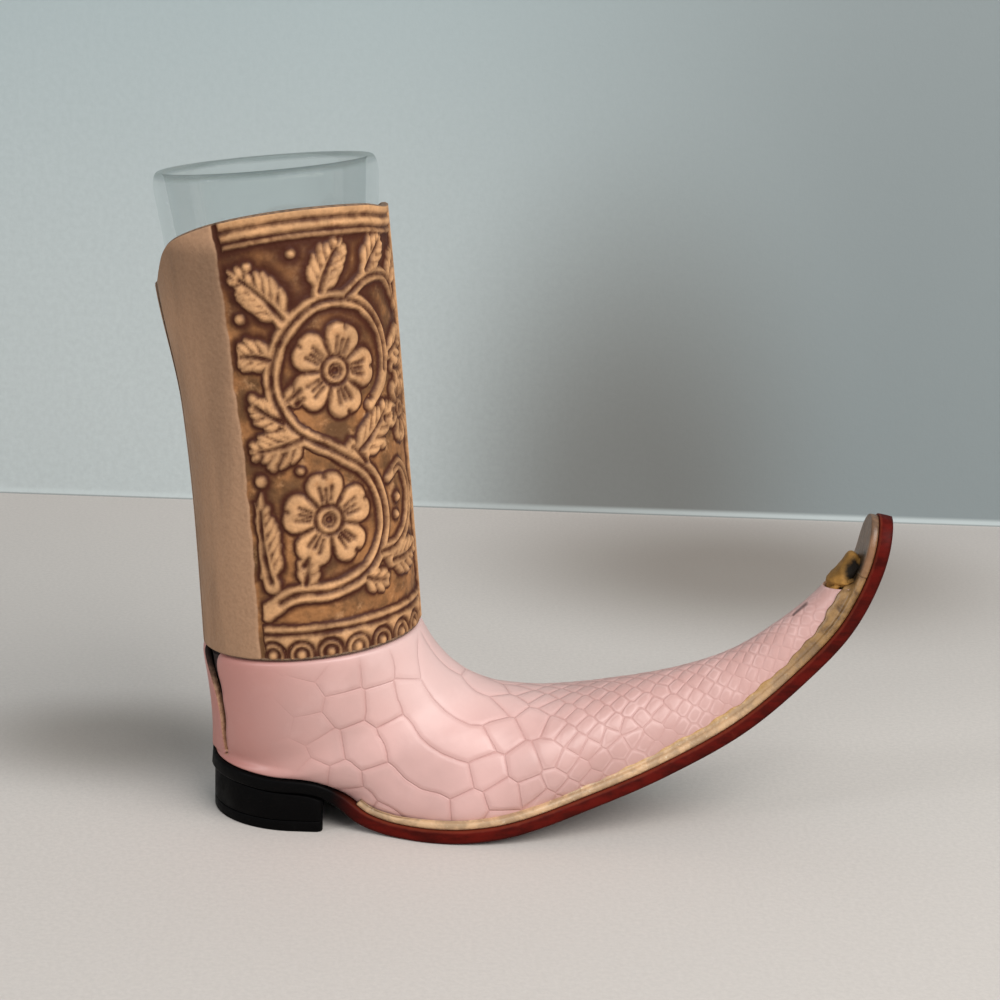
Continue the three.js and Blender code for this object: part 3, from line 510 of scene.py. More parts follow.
class Finish:
    """One material's nodes, built by short calls."""

    def __init__(self, name, roughness=0.5, **sockets):
        self.material = bpy.data.materials.new(name)
        self.material.use_nodes = True
        self.tree = self.material.node_tree
        self.tree.nodes.clear()
        self.out = self.tree.nodes.new("ShaderNodeOutputMaterial")
        self.shader = self.tree.nodes.new("ShaderNodeBsdfPrincipled")
        self.tree.links.new(self.shader.outputs[0], self.out.inputs["Surface"])
        self.shader.inputs["Roughness"].default_value = roughness
        for name_, value in sockets.items():
            self.shader.inputs[name_.replace("_", " ")].default_value = value
        self.place = self.tree.nodes.new("ShaderNodeTexCoord").outputs["Object"]

    def node(self, kind, **settings):
        made = self.tree.nodes.new(kind)
        for key, value in settings.items():
            setattr(made, key, value)
        return made

    def put(self, socket, value):
        if isinstance(value, bpy.types.NodeSocket):
            self.tree.links.new(value, socket)
        else:
            socket.default_value = value

    def sum(self, operation, a, b=0.0):
        made = self.node("ShaderNodeMath", operation=operation)
        self.put(made.inputs[0], a)
        self.put(made.inputs[1], b)
        return made.outputs[0]

    def times(self, a, b):
        return self.sum("MULTIPLY", a, b)

    def plus(self, a, b):
        return self.sum("ADD", a, b)

    def minus(self, a, b):
        return self.sum("SUBTRACT", a, b)

    def wander(self, noise, amount):
        """A noise as a swing to both sides of zero."""
        return self.times(self.minus(noise, 0.5), amount)

    def fit(self, value, low, high, to_low=0.0, to_high=1.0):
        """A smooth step from one range to another."""
        made = self.node("ShaderNodeMapRange", interpolation_type="SMOOTHSTEP")
        self.put(made.inputs["Value"], value)
        for name, number in (("From Min", low), ("From Max", high), ("To Min", to_low), ("To Max", to_high)):
            made.inputs[name].default_value = number
        return made.outputs["Result"]

    def noise(self, scale, detail=3.0, roughness=0.5, vector=None, distortion=0.0):
        made = self.node("ShaderNodeTexNoise")
        self.put(made.inputs["Vector"], vector or self.place)
        made.inputs["Scale"].default_value = scale
        made.inputs["Detail"].default_value = detail
        made.inputs["Roughness"].default_value = roughness
        made.inputs["Distortion"].default_value = distortion
        return made.outputs["Fac"]

    def cells(self, scale):
        made = self.node("ShaderNodeTexVoronoi")
        self.put(made.inputs["Vector"], self.place)
        made.inputs["Scale"].default_value = scale
        return made.outputs["Distance"]

    def stretched(self, scale):
        made = self.node("ShaderNodeMapping")
        self.put(made.inputs["Vector"], self.place)
        made.inputs["Scale"].default_value = scale
        return made.outputs[0]

    def value_of(self, name, vector=False):
        made = self.node("ShaderNodeAttribute", attribute_name=name, attribute_type="GEOMETRY")
        return made.outputs["Vector" if vector else "Fac"]

    def parts_of(self, vector):
        made = self.node("ShaderNodeSeparateXYZ")
        self.put(made.inputs[0], vector)
        return list(made.outputs)

    def axis(self, number):
        """The x, y or z of the place in the part's own frame."""
        return self.parts_of(self.place)[number]

    def mix(self, factor, a, b):
        made = self.node("ShaderNodeMix", data_type="RGBA")
        self.put(made.inputs["Factor"], factor)
        colours = [s for s in made.inputs if s.type == "RGBA"]
        for socket, value in zip(colours, (a, b)):
            self.put(socket, value if isinstance(value, bpy.types.NodeSocket) else linear(value))
        return [s for s in made.outputs if s.type == "RGBA"][0]

    def bump(self, height, distance, strength):
        made = self.node("ShaderNodeBump")
        made.inputs["Strength"].default_value = strength
        made.inputs["Distance"].default_value = distance
        self.put(made.inputs["Height"], height)
        return made.outputs[0]

    def blend(self, share, first, second):
        """Two shaders, mixed, are shown in place of the one."""
        made = self.node("ShaderNodeMixShader")
        self.put(made.inputs[0], share)
        self.tree.links.new(first.outputs[0], made.inputs[1])
        self.tree.links.new(second.outputs[0], made.inputs[2])
        self.tree.links.new(made.outputs[0], self.out.inputs["Surface"])

    def done(self, colour, roughness=None, normal=None):
        self.put(self.shader.inputs["Base Color"], colour)
        if roughness is not None:
            self.put(self.shader.inputs["Roughness"], roughness)
        if normal is not None:
            self.put(self.shader.inputs["Normal"], normal)
        return self.material


def shade(colour, factor):
    return tuple(min(1.0, c * factor) for c in colour[:3])


def clear_glass():
    f = Finish("clear_glass", roughness=0.02, IOR=1.46, Transmission_Weight=1.0)
    film = f.noise(60, 2)
    lip = f.value_of("lip_shade_share")
    # the lip is darkened all round as painted shade, for the dark edge of the thick rim
    lip_shade = (0.88, 0.895, 0.892)
    made = f.done(f.mix(lip, (0.983, 0.99, 0.988), lip_shade), f.fit(film, 0.3, 0.8, 0.01, 0.05))
    through = f.node("ShaderNodeBsdfTransparent")
    f.put(through.inputs["Color"], f.mix(lip, (0.982, 0.986, 0.986), lip_shade))
    f.blend(0.13, through, f.shader)
    return made


def tooled_leather(colours):
    f = Finish("tooled_leather", roughness=0.55, Specular_IOR_Level=0.2)
    edge = f.value_of("tool_edge")
    plain = f.value_of("plain_side")
    blotch = f.noise(140, 4, 0.62)
    stain_and_shade = f.noise(330, 3, 0.6)
    fine = f.noise(1500, 3, 0.6)
    wander = f.wander(stain_and_shade, 1.1)
    distance = f.plus(edge, wander)
    pool = f.fit(f.noise(75, 3, 0.55), 0.36, 0.66, 0.5, 2.8)
    height = f.axis(2)
    pool = f.plus(pool, f.fit(height, 0.1, 0.124, 0, 3.2))
    pool = f.times(pool, f.fit(height, 0.045, 0.065, 0.4, 1.0))
    pool = f.times(pool, f.fit(f.sum("ABSOLUTE", f.minus(height, 0.082)), 0.004, 0.02, 0.6, 1.0))
    raised = f.mix(f.fit(blotch, 0.35, 0.68), colours.tooled_raised, shade(colours.tooled_raised, 0.84))
    raised = f.mix(f.fit(stain_and_shade, 0.55, 0.75, 0, 0.45), raised, shade(colours.tooled_ground, 1.05))
    ground = f.mix(f.fit(blotch, 0.36, 0.64), colours.tooled_ground, shade(colours.tooled_ground, 0.62))
    ground = f.mix(f.fit(stain_and_shade, 0.56, 0.78, 0, 0.5), ground, colours.tooled_raised)
    beside = f.fit(f.sum("DIVIDE", f.minus(distance, 0.35), pool), 0.0, 1.0)
    field = f.mix(beside, colours.tooled_dark, ground)
    panel = f.mix(f.fit(distance, -0.85, 0.35), raised, field)
    streaks = f.noise(55, 4, 0.55, vector=f.stretched((2.2, 2.2, 0.35)))
    strip = f.mix(f.fit(streaks, 0.35, 0.7), colours.plain_strip, shade(colours.plain_strip, 0.86))
    strip = f.mix(f.fit(height, 0.108, 0.122, 0, 0.5), strip, shade(colours.plain_strip, 0.72))
    strip = f.mix(f.fit(height, 0.124, 0.129, 0, 0.45), strip, shade(colours.plain_strip, 1.25))
    colour = f.mix(f.fit(plain, -0.15, 0.15), panel, strip)
    colour = f.mix(f.fit(fine, 0.35, 0.7, 0, 0.14), colour, (0.32, 0.18, 0.1))
    grain = f.plus(f.times(f.cells(1100), 0.6), f.times(fine, 0.8))
    pits = f.times(f.cells(820), f.fit(edge, 0.4, 1.2))
    normal = f.bump(f.plus(grain, f.times(pits, 1.6)), 0.00012, 0.5)
    rough = f.fit(blotch, 0.3, 0.75, 0.5, 0.68)
    return f.done(colour, rough, normal)


def raw_edge(colours, name, factor):
    f = Finish(name, roughness=0.85)
    grain = f.noise(900, 4, 0.65)
    light, dark = shade(colours.plain_strip, factor), shade(colours.plain_strip, factor * 0.6)
    colour = f.mix(f.fit(grain, 0.3, 0.7), light, dark)
    return f.done(colour, None, f.bump(grain, 0.0003, 0.6))


def cut_edge():
    """The upper's cut edge, pale at the heel, with painted shade high up near the back where the seam gapes.
    """
    f = Finish("upper_edge", roughness=0.85)
    grain = f.noise(900, 4, 0.65)
    pale = f.mix(f.fit(grain, 0.3, 0.7), (0.86, 0.68, 0.54), (0.66, 0.46, 0.35))
    wander = f.wander(grain, 0.006)
    rise = f.plus(f.axis(2), wander)
    # painted shade: dark high up and near the back, where the seam gapes
    back = f.fit(f.axis(0), from_heel(8), from_heel(14), 1, 0)
    dark = f.times(f.fit(rise, 0.026, 0.036), back)
    return f.done(f.mix(dark, pale, (0.15, 0.07, 0.05)), None, f.bump(grain, 0.0003, 0.6))


def scaled_leather(colours):
    f = Finish(
        "scaled_leather", roughness=0.4, Specular_IOR_Level=0.45, Coat_Weight=0.12, Coat_Roughness=0.35
    )
    fields = f.parts_of(f.value_of("scale_field_a", True)) + f.parts_of(f.value_of("scale_field_b", True))
    lows, highs = [], []
    for k in range(0, 6, 2):
        lows.append(f.sum("MINIMUM", fields[k], fields[k + 1]))
        highs.append(f.sum("MAXIMUM", fields[k], fields[k + 1]))
    first_two = f.sum("MINIMUM", lows[0], lows[1])
    low = f.sum("MINIMUM", first_two, lows[2])
    second = f.sum("MAXIMUM", first_two, f.sum("MINIMUM", f.sum("MAXIMUM", lows[0], lows[1]), lows[2]))
    second = f.sum("MINIMUM", second, f.sum("MINIMUM", highs[0], f.sum("MINIMUM", highs[1], highs[2])))
    apart = f.minus(second, low)
    wander = f.wander(f.noise(900, 2), 0.35)
    apart = f.plus(apart, wander)
    strength = f.value_of("scale_strength")
    line = f.times(f.fit(apart, 0.02, 0.52, 1, 0), strength)
    blush = f.times(f.fit(apart, 0.3, 2.4, 1, 0), strength)
    cloud = f.noise(45, 4, 0.55)
    dusk = f.noise(130, 3, 0.6)
    colour = f.mix(f.fit(cloud, 0.35, 0.68), colours.scale_pink, shade(colours.scale_pink, 0.93))
    colour = f.mix(f.fit(dusk, 0.5, 0.75, 0, 0.25), colour, colours.scale_pale)
    colour = f.mix(f.times(blush, 0.16), colour, colours.scale_line)
    along = f.plus(f.axis(0), f.wander(cloud, 0.02))
    # painted shade: the heel end darker and redder
    heel = f.fit(along, from_heel(-2), from_heel(32), 1, 0)
    colour = f.mix(f.times(heel, 0.85), colour, (0.7, 0.435, 0.39))
    toe = f.fit(along, from_heel(55), from_heel(90))
    colour = f.mix(f.times(toe, 0.5), colour, (0.71, 0.55, 0.52))
    # painted highlight: paler from 30 to 88 mm along the foot, above 22 to 34 mm up
    light = f.times(f.fit(along, from_heel(30), from_heel(44)), f.fit(f.axis(2), 0.022, 0.034))
    light = f.times(light, f.fit(along, from_heel(68), from_heel(88), 1, 0))
    colour = f.mix(f.times(light, 0.5), colour, (0.9, 0.785, 0.765))
    # painted highlight: pale lines beside the scale edges towards the toe
    ridge = f.times(f.fit(apart, 0.35, 0.8), f.fit(apart, 0.8, 1.6, 1, 0))
    ridge = f.times(ridge, f.times(toe, f.fit(dusk, 0.42, 0.62, 0.0, 0.4)))
    colour = f.mix(ridge, colour, colours.scale_pale)
    depth = f.times(f.minus(0.4, f.times(toe, 0.14)), f.fit(dusk, 0.3, 0.65, 1.0, 0.6))
    depth = f.times(depth, f.fit(f.axis(2), 0.024, 0.042, 1.0, 0.5))
    colour = f.mix(f.times(line, depth), colour, colours.scale_line)
    colour = f.mix(f.value_of("nick_share"), colour, (0.26, 0.13, 0.11))
    groove = f.times(line, -0.6)
    pillow = f.times(f.fit(apart, 0.0, 2.2), strength)
    skin = f.noise(1300, 3, 0.6)
    height = f.plus(f.plus(groove, f.times(pillow, 0.5)), f.times(skin, 0.12))
    normal = f.bump(height, 0.00022, 0.8)
    rough = f.fit(dusk, 0.3, 0.7, 0.34, 0.46)
    return f.done(colour, rough, normal)


def welt_leather(colours):
    f = Finish("welt_leather", roughness=0.42, Coat_Weight=0.25, Coat_Roughness=0.3)
    lumps = f.noise(260, 4, 0.6, distortion=0.4)
    specks = f.noise(900, 3, 0.6)
    toe = f.value_of("toe_share")
    light = f.mix(f.fit(lumps, 0.4, 0.62), shade(colours.welt, 0.82), colours.welt)
    light = f.mix(f.fit(specks, 0.6, 0.75, 0, 0.5), light, (0.93, 0.86, 0.74))
    high = f.plus(f.value_of("climb_share"), f.wander(lumps, 0.6))
    smeared = f.mix(f.fit(specks, 0.35, 0.65), (0.68, 0.52, 0.3), (0.76, 0.61, 0.39))
    light = f.mix(f.fit(high, 0.1, 0.45), light, smeared)
    aged = f.mix(f.fit(lumps, 0.35, 0.6), (0.36, 0.25, 0.12), (0.6, 0.46, 0.28))
    ageing = f.fit(f.plus(toe, f.times(lumps, 0.25)), 0.8, 0.98)
    face = f.mix(f.fit(specks, 0.35, 0.65), (0.45, 0.33, 0.23), (0.36, 0.26, 0.18))
    side = f.fit(f.sum("ABSOLUTE", f.axis(1)), 0.0048, 0.0062, 0, 0.75)
    face = f.mix(side, face, (0.55, 0.39, 0.26))
    colour = f.mix(ageing, light, aged)
    colour = f.mix(f.fit(toe, 0.9, 0.95), colour, face)
    # painted shade from the filler's hollow, spread onto the tip's face
    colour = f.mix(f.value_of("tip_shade_share"), colour, (0.09, 0.065, 0.035))
    height = f.plus(lumps, f.times(specks, 0.4))
    return f.done(colour, None, f.bump(height, 0.0006, 0.6))


def sole_leather(colours):
    f = Finish("sole_leather", roughness=0.5, Specular_IOR_Level=0.06)
    streak = f.noise(160, 4, 0.6, vector=f.stretched((1, 1, 2.6)))
    scuff = f.noise(420, 4, 0.65)
    colour = f.mix(f.fit(streak, 0.32, 0.68), colours.sole_edge, shade(colours.sole_edge, 0.66))
    colour = f.mix(f.fit(scuff, 0.6, 0.82, 0, 0.3), colour, (0.46, 0.19, 0.14))
    rim = f.plus(f.value_of("rise_share"), f.wander(scuff, 0.25))
    colour = f.mix(f.fit(rim, 0.8, 1.0, 0, 0.5), colour, (0.5, 0.22, 0.15))
    colour = f.mix(f.fit(rim, 0.05, 0.35, 0.45, 0), colour, shade(colours.sole_edge, 0.5))
    along = f.plus(f.axis(0), f.times(streak, 0.004))
    start = from_heel(29.0)
    colour = f.mix(f.fit(along, start, start + 0.009), colours.heel_black, colour)
    return f.done(colour, f.fit(scuff, 0.3, 0.7, 0.42, 0.58), f.bump(scuff, 0.0002, 0.35))


def black_heel(colours):
    f = Finish("black_heel", roughness=0.55, Specular_IOR_Level=0.05)
    scuff = f.noise(300, 4, 0.65)
    dust = f.noise(90, 3, 0.5)
    colour = f.mix(f.fit(scuff, 0.6, 0.85, 0, 0.4), colours.heel_black, (0.09, 0.085, 0.08))
    colour = f.mix(f.fit(dust, 0.55, 0.8, 0, 0.25), colour, (0.06, 0.055, 0.05))
    return f.done(colour, f.fit(scuff, 0.3, 0.7, 0.42, 0.62), f.bump(scuff, 0.0003, 0.4))


def toe_filler(colours):
    f = Finish("toe_filler", roughness=0.6, Specular_IOR_Level=0.12)
    lumps = f.noise(210, 4, 0.6)
    grime = f.noise(480, 4, 0.65)
    deep = f.value_of("recess_share")
    colour = f.mix(f.fit(lumps, 0.38, 0.62), colours.filler, shade(colours.filler, 0.76))
    colour = f.mix(f.fit(grime, 0.58, 0.75, 0, 0.4), colour, (0.3, 0.24, 0.1))
    # painted shade in the hollow, with a ragged edge
    dark = f.plus(deep, f.wander(grime, 1.1))
    colour = f.mix(f.fit(dark, 0.12, 0.8), colour, (0.085, 0.06, 0.03))
    # painted shade: the filler dark where it lies inside the foot
    inside = f.fit(f.axis(0), from_heel(60), from_heel(80), 1, 0)
    colour = f.mix(inside, colour, (0.14, 0.08, 0.06))
    height = f.plus(lumps, f.times(grime, 0.4))
    return f.done(colour, None, f.bump(height, 0.0007, 0.6))


def plain_fibre(name, colour):
    f = Finish(name, roughness=0.85)
    grain = f.noise(700, 4, 0.6)
    tone = f.mix(f.fit(grain, 0.3, 0.7), colour, shade(colour, 0.7))
    return f.done(tone, None, f.bump(grain, 0.0003, 0.5))


def nail_steel():
    f = Finish("nail_steel", roughness=0.4, Metallic=1.0)
    grain = f.noise(900, 3)
    tone = f.mix(f.fit(grain, 0.3, 0.7), (0.62, 0.61, 0.6), (0.5, 0.49, 0.48))
    return f.done(tone, None, f.bump(grain, 0.0001, 0.4))


# What a user may change


class BootSizes(bpy.types.PropertyGroup):
    relief: FloatProperty(
        name="Tooling depth", description="How deep the tooling is pressed",
        default=0.0009, min=0, unit="LENGTH",
    )
    scale_relief: FloatProperty(
        name="Scale relief", description="How far the scales swell", default=0.00016, min=0, unit="LENGTH"
    )
    seam_gape: FloatProperty(
        name="Seam gape", description="How wide the back seam stands open", default=1.0, min=0.2, max=1.5
    )
    round_steps: IntProperty(
        name="Glass steps", description="Steps round the glass", default=128, min=24, max=256
    )


def colour_property(name, description, default):
    return FloatVectorProperty(
        name=name, description=description, subtype="COLOR_GAMMA", size=3, min=0, max=1, default=default
    )


class BootColours(bpy.types.PropertyGroup):
    tooled_raised: colour_property("Raised tooling", "Leather that stands up", (0.85, 0.645, 0.455))
    tooled_ground: colour_property("Tooled ground", "Leather between the forms", (0.635, 0.435, 0.265))
    tooled_dark: colour_property("Tooled hollows", "Stain in the hollows", (0.26, 0.11, 0.05))
    plain_strip: colour_property("Plain strip", "Leather at the sleeve's ends", (0.665, 0.52, 0.405))
    scale_pink: colour_property("Scales", "Pink of the scales", (0.84, 0.675, 0.65))
    scale_pale: colour_property("Pale scales", "Paler parts of the scales", (0.895, 0.755, 0.735))
    scale_line: colour_property("Scale lines", "Lines between the scales", (0.7, 0.46, 0.43))
    welt: colour_property("Welt", "Light strip round the foot", (0.8, 0.655, 0.5))
    sole_edge: colour_property("Sole edge", "Stained edge of the sole", (0.35, 0.07, 0.045))
    filler: colour_property("Toe filler", "Bare filler at the toe", (0.65, 0.475, 0.24))
    heel_black: colour_property("Heel", "Black of the heel", (0.018, 0.016, 0.017))
    table: colour_property("Table", "Table under the boot", (0.82, 0.79, 0.765))
    wall: colour_property("Wall", "Wall behind the boot", (0.757, 0.787, 0.785))


# Pieces


def arc(x, z, radius, start, stop, steps):
    return [(x + radius * math.cos(a), z + radius * math.sin(a)) for a in np.linspace(start, stop, steps)]


class BOOTGLASS_OT_glass(bpy.types.Operator):
    """Turn the glass about the leg's axis"""

    bl_idname = "bootglass.glass"
    bl_label = "Glass"

    def execute(self, context):
        sizes = context.scene.boot_sizes
        slope = math.atan2(RIM_RADIUS - BASE_RADIUS, GLASS_HEIGHT)
        bottom, base_round, base_wall, half_lip = 11.0, 2.4, 2.2, 1.25
        outer_rise, inner_rise = 3.4, 1.6
        floor = BASE_RADIUS - base_wall
        inner = floor * 0.35
        # the lip falls off further outside than inside
        rim = []
        for turn in np.linspace(-slope, math.pi - slope, 22):
            rise = outer_rise if math.cos(turn) > 0 else inner_rise
            across = RIM_RADIUS - half_lip + half_lip * math.cos(turn)
            rim.append((across, GLASS_HEIGHT - rise + rise * math.sin(turn)))
        profile = (
            [(0.0, 0.5), (BASE_RADIUS * 0.4, 0.4)]
            + arc(BASE_RADIUS - base_round, base_round, base_round, -math.pi / 2, -slope, 8)
            + rim
            + arc(floor - inner, bottom + inner, inner, -slope, -math.pi / 2, 10)
            + [(0.0, bottom)]
        )
        bm = bmesh.new()
        points = [bm.verts.new((x * MM, 0, (z + GLASS_BASE) * MM)) for x, z in profile]
        for a, b in zip(points, points[1:]):
            bm.edges.new((a, b))
        bmesh.ops.spin(
            bm, geom=bm.verts[:] + bm.edges[:], cent=(0, 0, 0), axis=(0, 0, 1), dvec=(0, 0, 0),
            angle=2 * math.pi, steps=sizes.round_steps, use_merge=True, use_duplicate=False,
        )
        close_up(bm)
        lean = Matrix.Translation(((LEG_FOOT_X + HEEL_BACK) * MM, 0, 0)) @ Matrix.Rotation(-LEAN, 4, "Y")
        bmesh.ops.transform(bm, matrix=lean, verts=bm.verts)
        piece = make_piece("glass_body", bm, [clear_glass()], GLASS, ["shot_glass"])
        points = places_of(piece.data)
        station = station_of(points)
        top = GLASS_BASE + GLASS_HEIGHT
        # where the lip's painted shade lies
        give(piece.data, "lip_shade_share", smooth(station, top - 1.8, top - 0.7))
        return {"FINISHED"}


def sleeve_top(phi):
    """Station of the sleeve's top edge at an angle from the front."""
    forward = np.cos(phi)
    forward = forward - SLEEVE_FLARE / float(sleeve_radius(SLEEVE_TOP)) * np.maximum(0, -forward) ** 3
    return SLEEVE_TOP - between(SLEEVE_EDGE, forward) - SLEEVE_FAR_DROP * smooth(-np.sin(phi), 0.1, 0.8)


# The panel's two sides, as angles from the front
PANEL_NEAR = math.radians(112.5)
PANEL_FAR = 2 * SEAM_ANGLE - PANEL_NEAR - 2 * math.pi


class Tooling:
    """The panel's forms as beads: round places whose union is a raised form or a cut line."""

    def __init__(self):
        self.forms, self.cuts = [], []

    def ribbon(self, points, widths, cut=False):
        """A band along a line, of changing width."""
        points = np.asarray(points, float)
        steps = max(2, int(np.linalg.norm(np.diff(points, axis=0), axis=1).sum() / 0.4))
        at = np.linspace(0, len(points) - 1, steps)
        base = np.arange(len(points))
        x, y, width = (np.interp(at, base, values) for values in (points[:, 0], points[:, 1], widths))
        (self.cuts if cut else self.forms).append(np.column_stack([x, y, width / 2]))

    def stem(self, points, width, tip, groove=True):
        """A smooth rounded band through a few points, with a cut along its middle."""
        line = SideLine(points).at(np.linspace(0, 1, 160))
        widths = np.interp(np.linspace(0, 1, 160), [0, 0.8, 1], [width, (width + tip) / 2, tip])
        self.ribbon(line, widths)
        if groove:
            self.ribbon(line[6:-14], widths[6:-14] * 0.22, cut=True)

    def leaf(self, x, y, degrees, length, width, curl=0.0, lobes=5):
        """A leaf with fingered sides and a cut midrib."""
        t = np.linspace(0, 1, 26)
        way = math.radians(degrees) + curl * t
        step = length / 25
        rib = np.column_stack([x + np.cumsum(np.cos(way)) * step, y + np.cumsum(np.sin(way)) * step])
        self.ribbon(rib, width * 0.34 * (1 - t) ** 0.6 + 0.6)
        for k in range(lobes):
            share = 0.1 + 0.7 * k / max(lobes - 1, 1)
            i = int(share * 25)
            reach = width * 0.52 * math.sin(math.pi * min(0.92, share + 0.24)) ** 0.8 + 0.6
            u = np.linspace(0, 1, 10)
            for side in (1, -1):
                bend = way[i] + side * (1.1 - 0.75 * u)
                lobe = np.column_stack([np.cumsum(np.cos(bend)), np.cumsum(np.sin(bend))])
                self.ribbon(rib[i] + lobe * reach / 9, np.interp(u, [0, 0.6, 1], [1.2, 2.1, 1.1]))
        self.ribbon(rib[1:21], np.interp(t[1:21], [0, 1], [0.85, 0.5]), cut=True)

    def flower(self, x, y, radius, petals, turn=0.0):
        """A wild rose: broad notched petals, cut apart and veined, round a ringed middle."""

        def ray(angle, shares):
            return [(x + math.cos(angle) * radius * r, y + math.sin(angle) * radius * r) for r in shares]

        broad = [radius * w for w in (0.28, 0.46, 0.56)]
        for k in range(petals):
            angle = turn + 2 * math.pi * k / petals
            for side in (-1, 1):
                self.ribbon(ray(angle + side * 0.17, (0.22, 0.45, 0.7)), broad)
                self.ribbon(ray(angle + side * 0.2, (0.42, 0.68)), [0.55, 0.3], cut=True)
            self.ribbon(ray(angle, (0.38, 0.62)), [0.65, 0.4], cut=True)
            self.ribbon(ray(angle, (0.9, 1.06)), [0.5, 1.3], cut=True)
            self.ribbon(ray(angle + math.pi / petals, (0.3, 0.6, 1.05)), [0.5, 0.7, 1.6], cut=True)
        ring = np.linspace(0, 2 * np.pi, 36)
        for share, width in ((0.3, 0.8), (0.13, 0.45)):
            self.ribbon(
                np.column_stack([x + np.cos(ring) * radius * share, y + np.sin(ring) * radius * share]),
                [width] * 36, cut=True,
            )


def draw_tooling():
    """A stem that winds up the leg round two wild roses and a bud, with fingered leaves."""
    t = Tooling()
    t.stem(
        [(2.5, 10.5), (9, 14), (18, 14.2), (27.5, 18), (32, 27), (29, 37), (20.5, 43.5), (12, 49), (8.3, 58),
         (11.5, 68), (20, 74.5), (30, 73), (36, 65.5), (35.5, 56.5), (30.5, 51.5)], 4.0, 2.4,
    )
    t.stem([(29, 20), (36, 20.5), (42, 25), (43.5, 32), (39.5, 37), (34.5, 35)], 3.4, 2.0)
    t.stem([(26, 74.5), (33, 78), (40.5, 77), (45, 70)], 3.2, 1.8)
    t.flower(17.8, 29.3, 10.4, 5, 0.35)
    t.flower(22.3, 60.2, 10.2, 5, 1.2)
    t.flower(43, 48.5, 7.4, 5, 0.7)
    for x, y, degrees, length, width, curl, lobes in [
        (4.5, 15.5, 106, 20, 9.6, -0.45, 7), (33, 17.5, -8, 13, 8.0, 0.4, 5),
        (25.5, 42, 30, 14, 8.8, 0.35, 5), (14.5, 47.6, 206, 13, 8.8, -0.5, 5),
        (9.5, 63.5, 158, 8.5, 7.2, 0.5, 4), (12.8, 71, 122, 15, 9.4, 0.4, 6),
        (20.5, 76, 72, 12, 8.0, -0.5, 5), (32.5, 79, 50, 9.5, 7.0, -0.3, 4), (38, 61, 8, 10, 7.0, 0.6, 4),
        (42, 75, 52, 9, 6.4, -0.2, 4), (44.5, 27, 8, 8, 6.6, 0.4, 3), (10.5, 50.5, 158, 8.5, 6.0, -0.4, 4),
        (25.5, 15.5, -25, 6.5, 5.0, 0.3, 3), (40, 58, -20, 7, 5, 0.3, 3),
        (28.2, 39.5, 118, 6.5, 4.6, 0.5, 3), (11, 55, 25, 4.5, 3.6, 0.4, 2),
        (11.5, 15.8, 70, 6.0, 4.6, 0.4, 3),
    ]:
        t.leaf(x, y, degrees, length, width, curl, lobes)
    for x, y, size in [
        (3.5, 38.5, 2.6), (6.6, 41.5, 2.0), (3.2, 72.5, 2.0), (33.8, 42.6, 2.0), (30.8, 47.2, 1.7),
        (27, 84, 2.2), (36.5, 46.5, 1.8), (3.8, 56, 2.2), (4.5, 78.5, 2.4), (6.3, 83, 1.8),
        (37.5, 30.3, 2.1), (36.7, 26.6, 1.8), (47, 58, 1.8), (15.5, 85, 1.8), (12.5, 40.3, 1.7),
    ]:
        t.ribbon([(x, y), (x + 0.1, y)], [size, size])
    return np.vstack(t.forms), np.vstack(t.cuts)


def tooling_edge(s, up, top):
    """Signed distance to the raised forms: below zero on them, above zero in the ground."""
    width = (PANEL_NEAR - PANEL_FAR) * PANEL_RADIUS
    folded = np.where(s > width / 2, width - s, s)
    points = np.column_stack([folded, up])
    forms, cuts = draw_tooling()
    raised = nearest(points, forms[:, :2], forms[:, 2])
    cut = nearest(points, cuts[:, :2], cuts[:, 2])
    edge = np.maximum(raised, -cut)
    # diamonds down the front
    front = np.abs(s - width / 2)
    beat = np.abs((up / 7.0) % 1 - 0.5) * 7.0
    diamond = (front + beat * 1.0 - 3.1) * 0.75
    rail = np.abs(front - 5.4) - 0.9
    edge = np.where(front < 7.0, np.minimum(diamond, rail), edge)
    # a border of low shells at the foot
    beat = (s / 6.4) % 1 * 6.4 - 3.2
    away = np.hypot(beat, up - 1.0)
    shells = np.minimum(np.minimum(np.abs(away - 2.9), np.abs(away - 1.4)), np.abs(up - 5.6) * 0.9) - 0.3
    edge = np.minimum(edge, np.maximum(up - 7.3, np.maximum(-0.75, 0.05 - shells)))
    # two soft lines under the top edge
    down = top - up
    lines = np.minimum(np.abs(down - 2.3), np.abs(down - 4.7)) - 0.35
    edge = np.minimum(edge, np.maximum(down - 5.9, np.maximum(-0.9, -0.1 - lines)))
    return edge


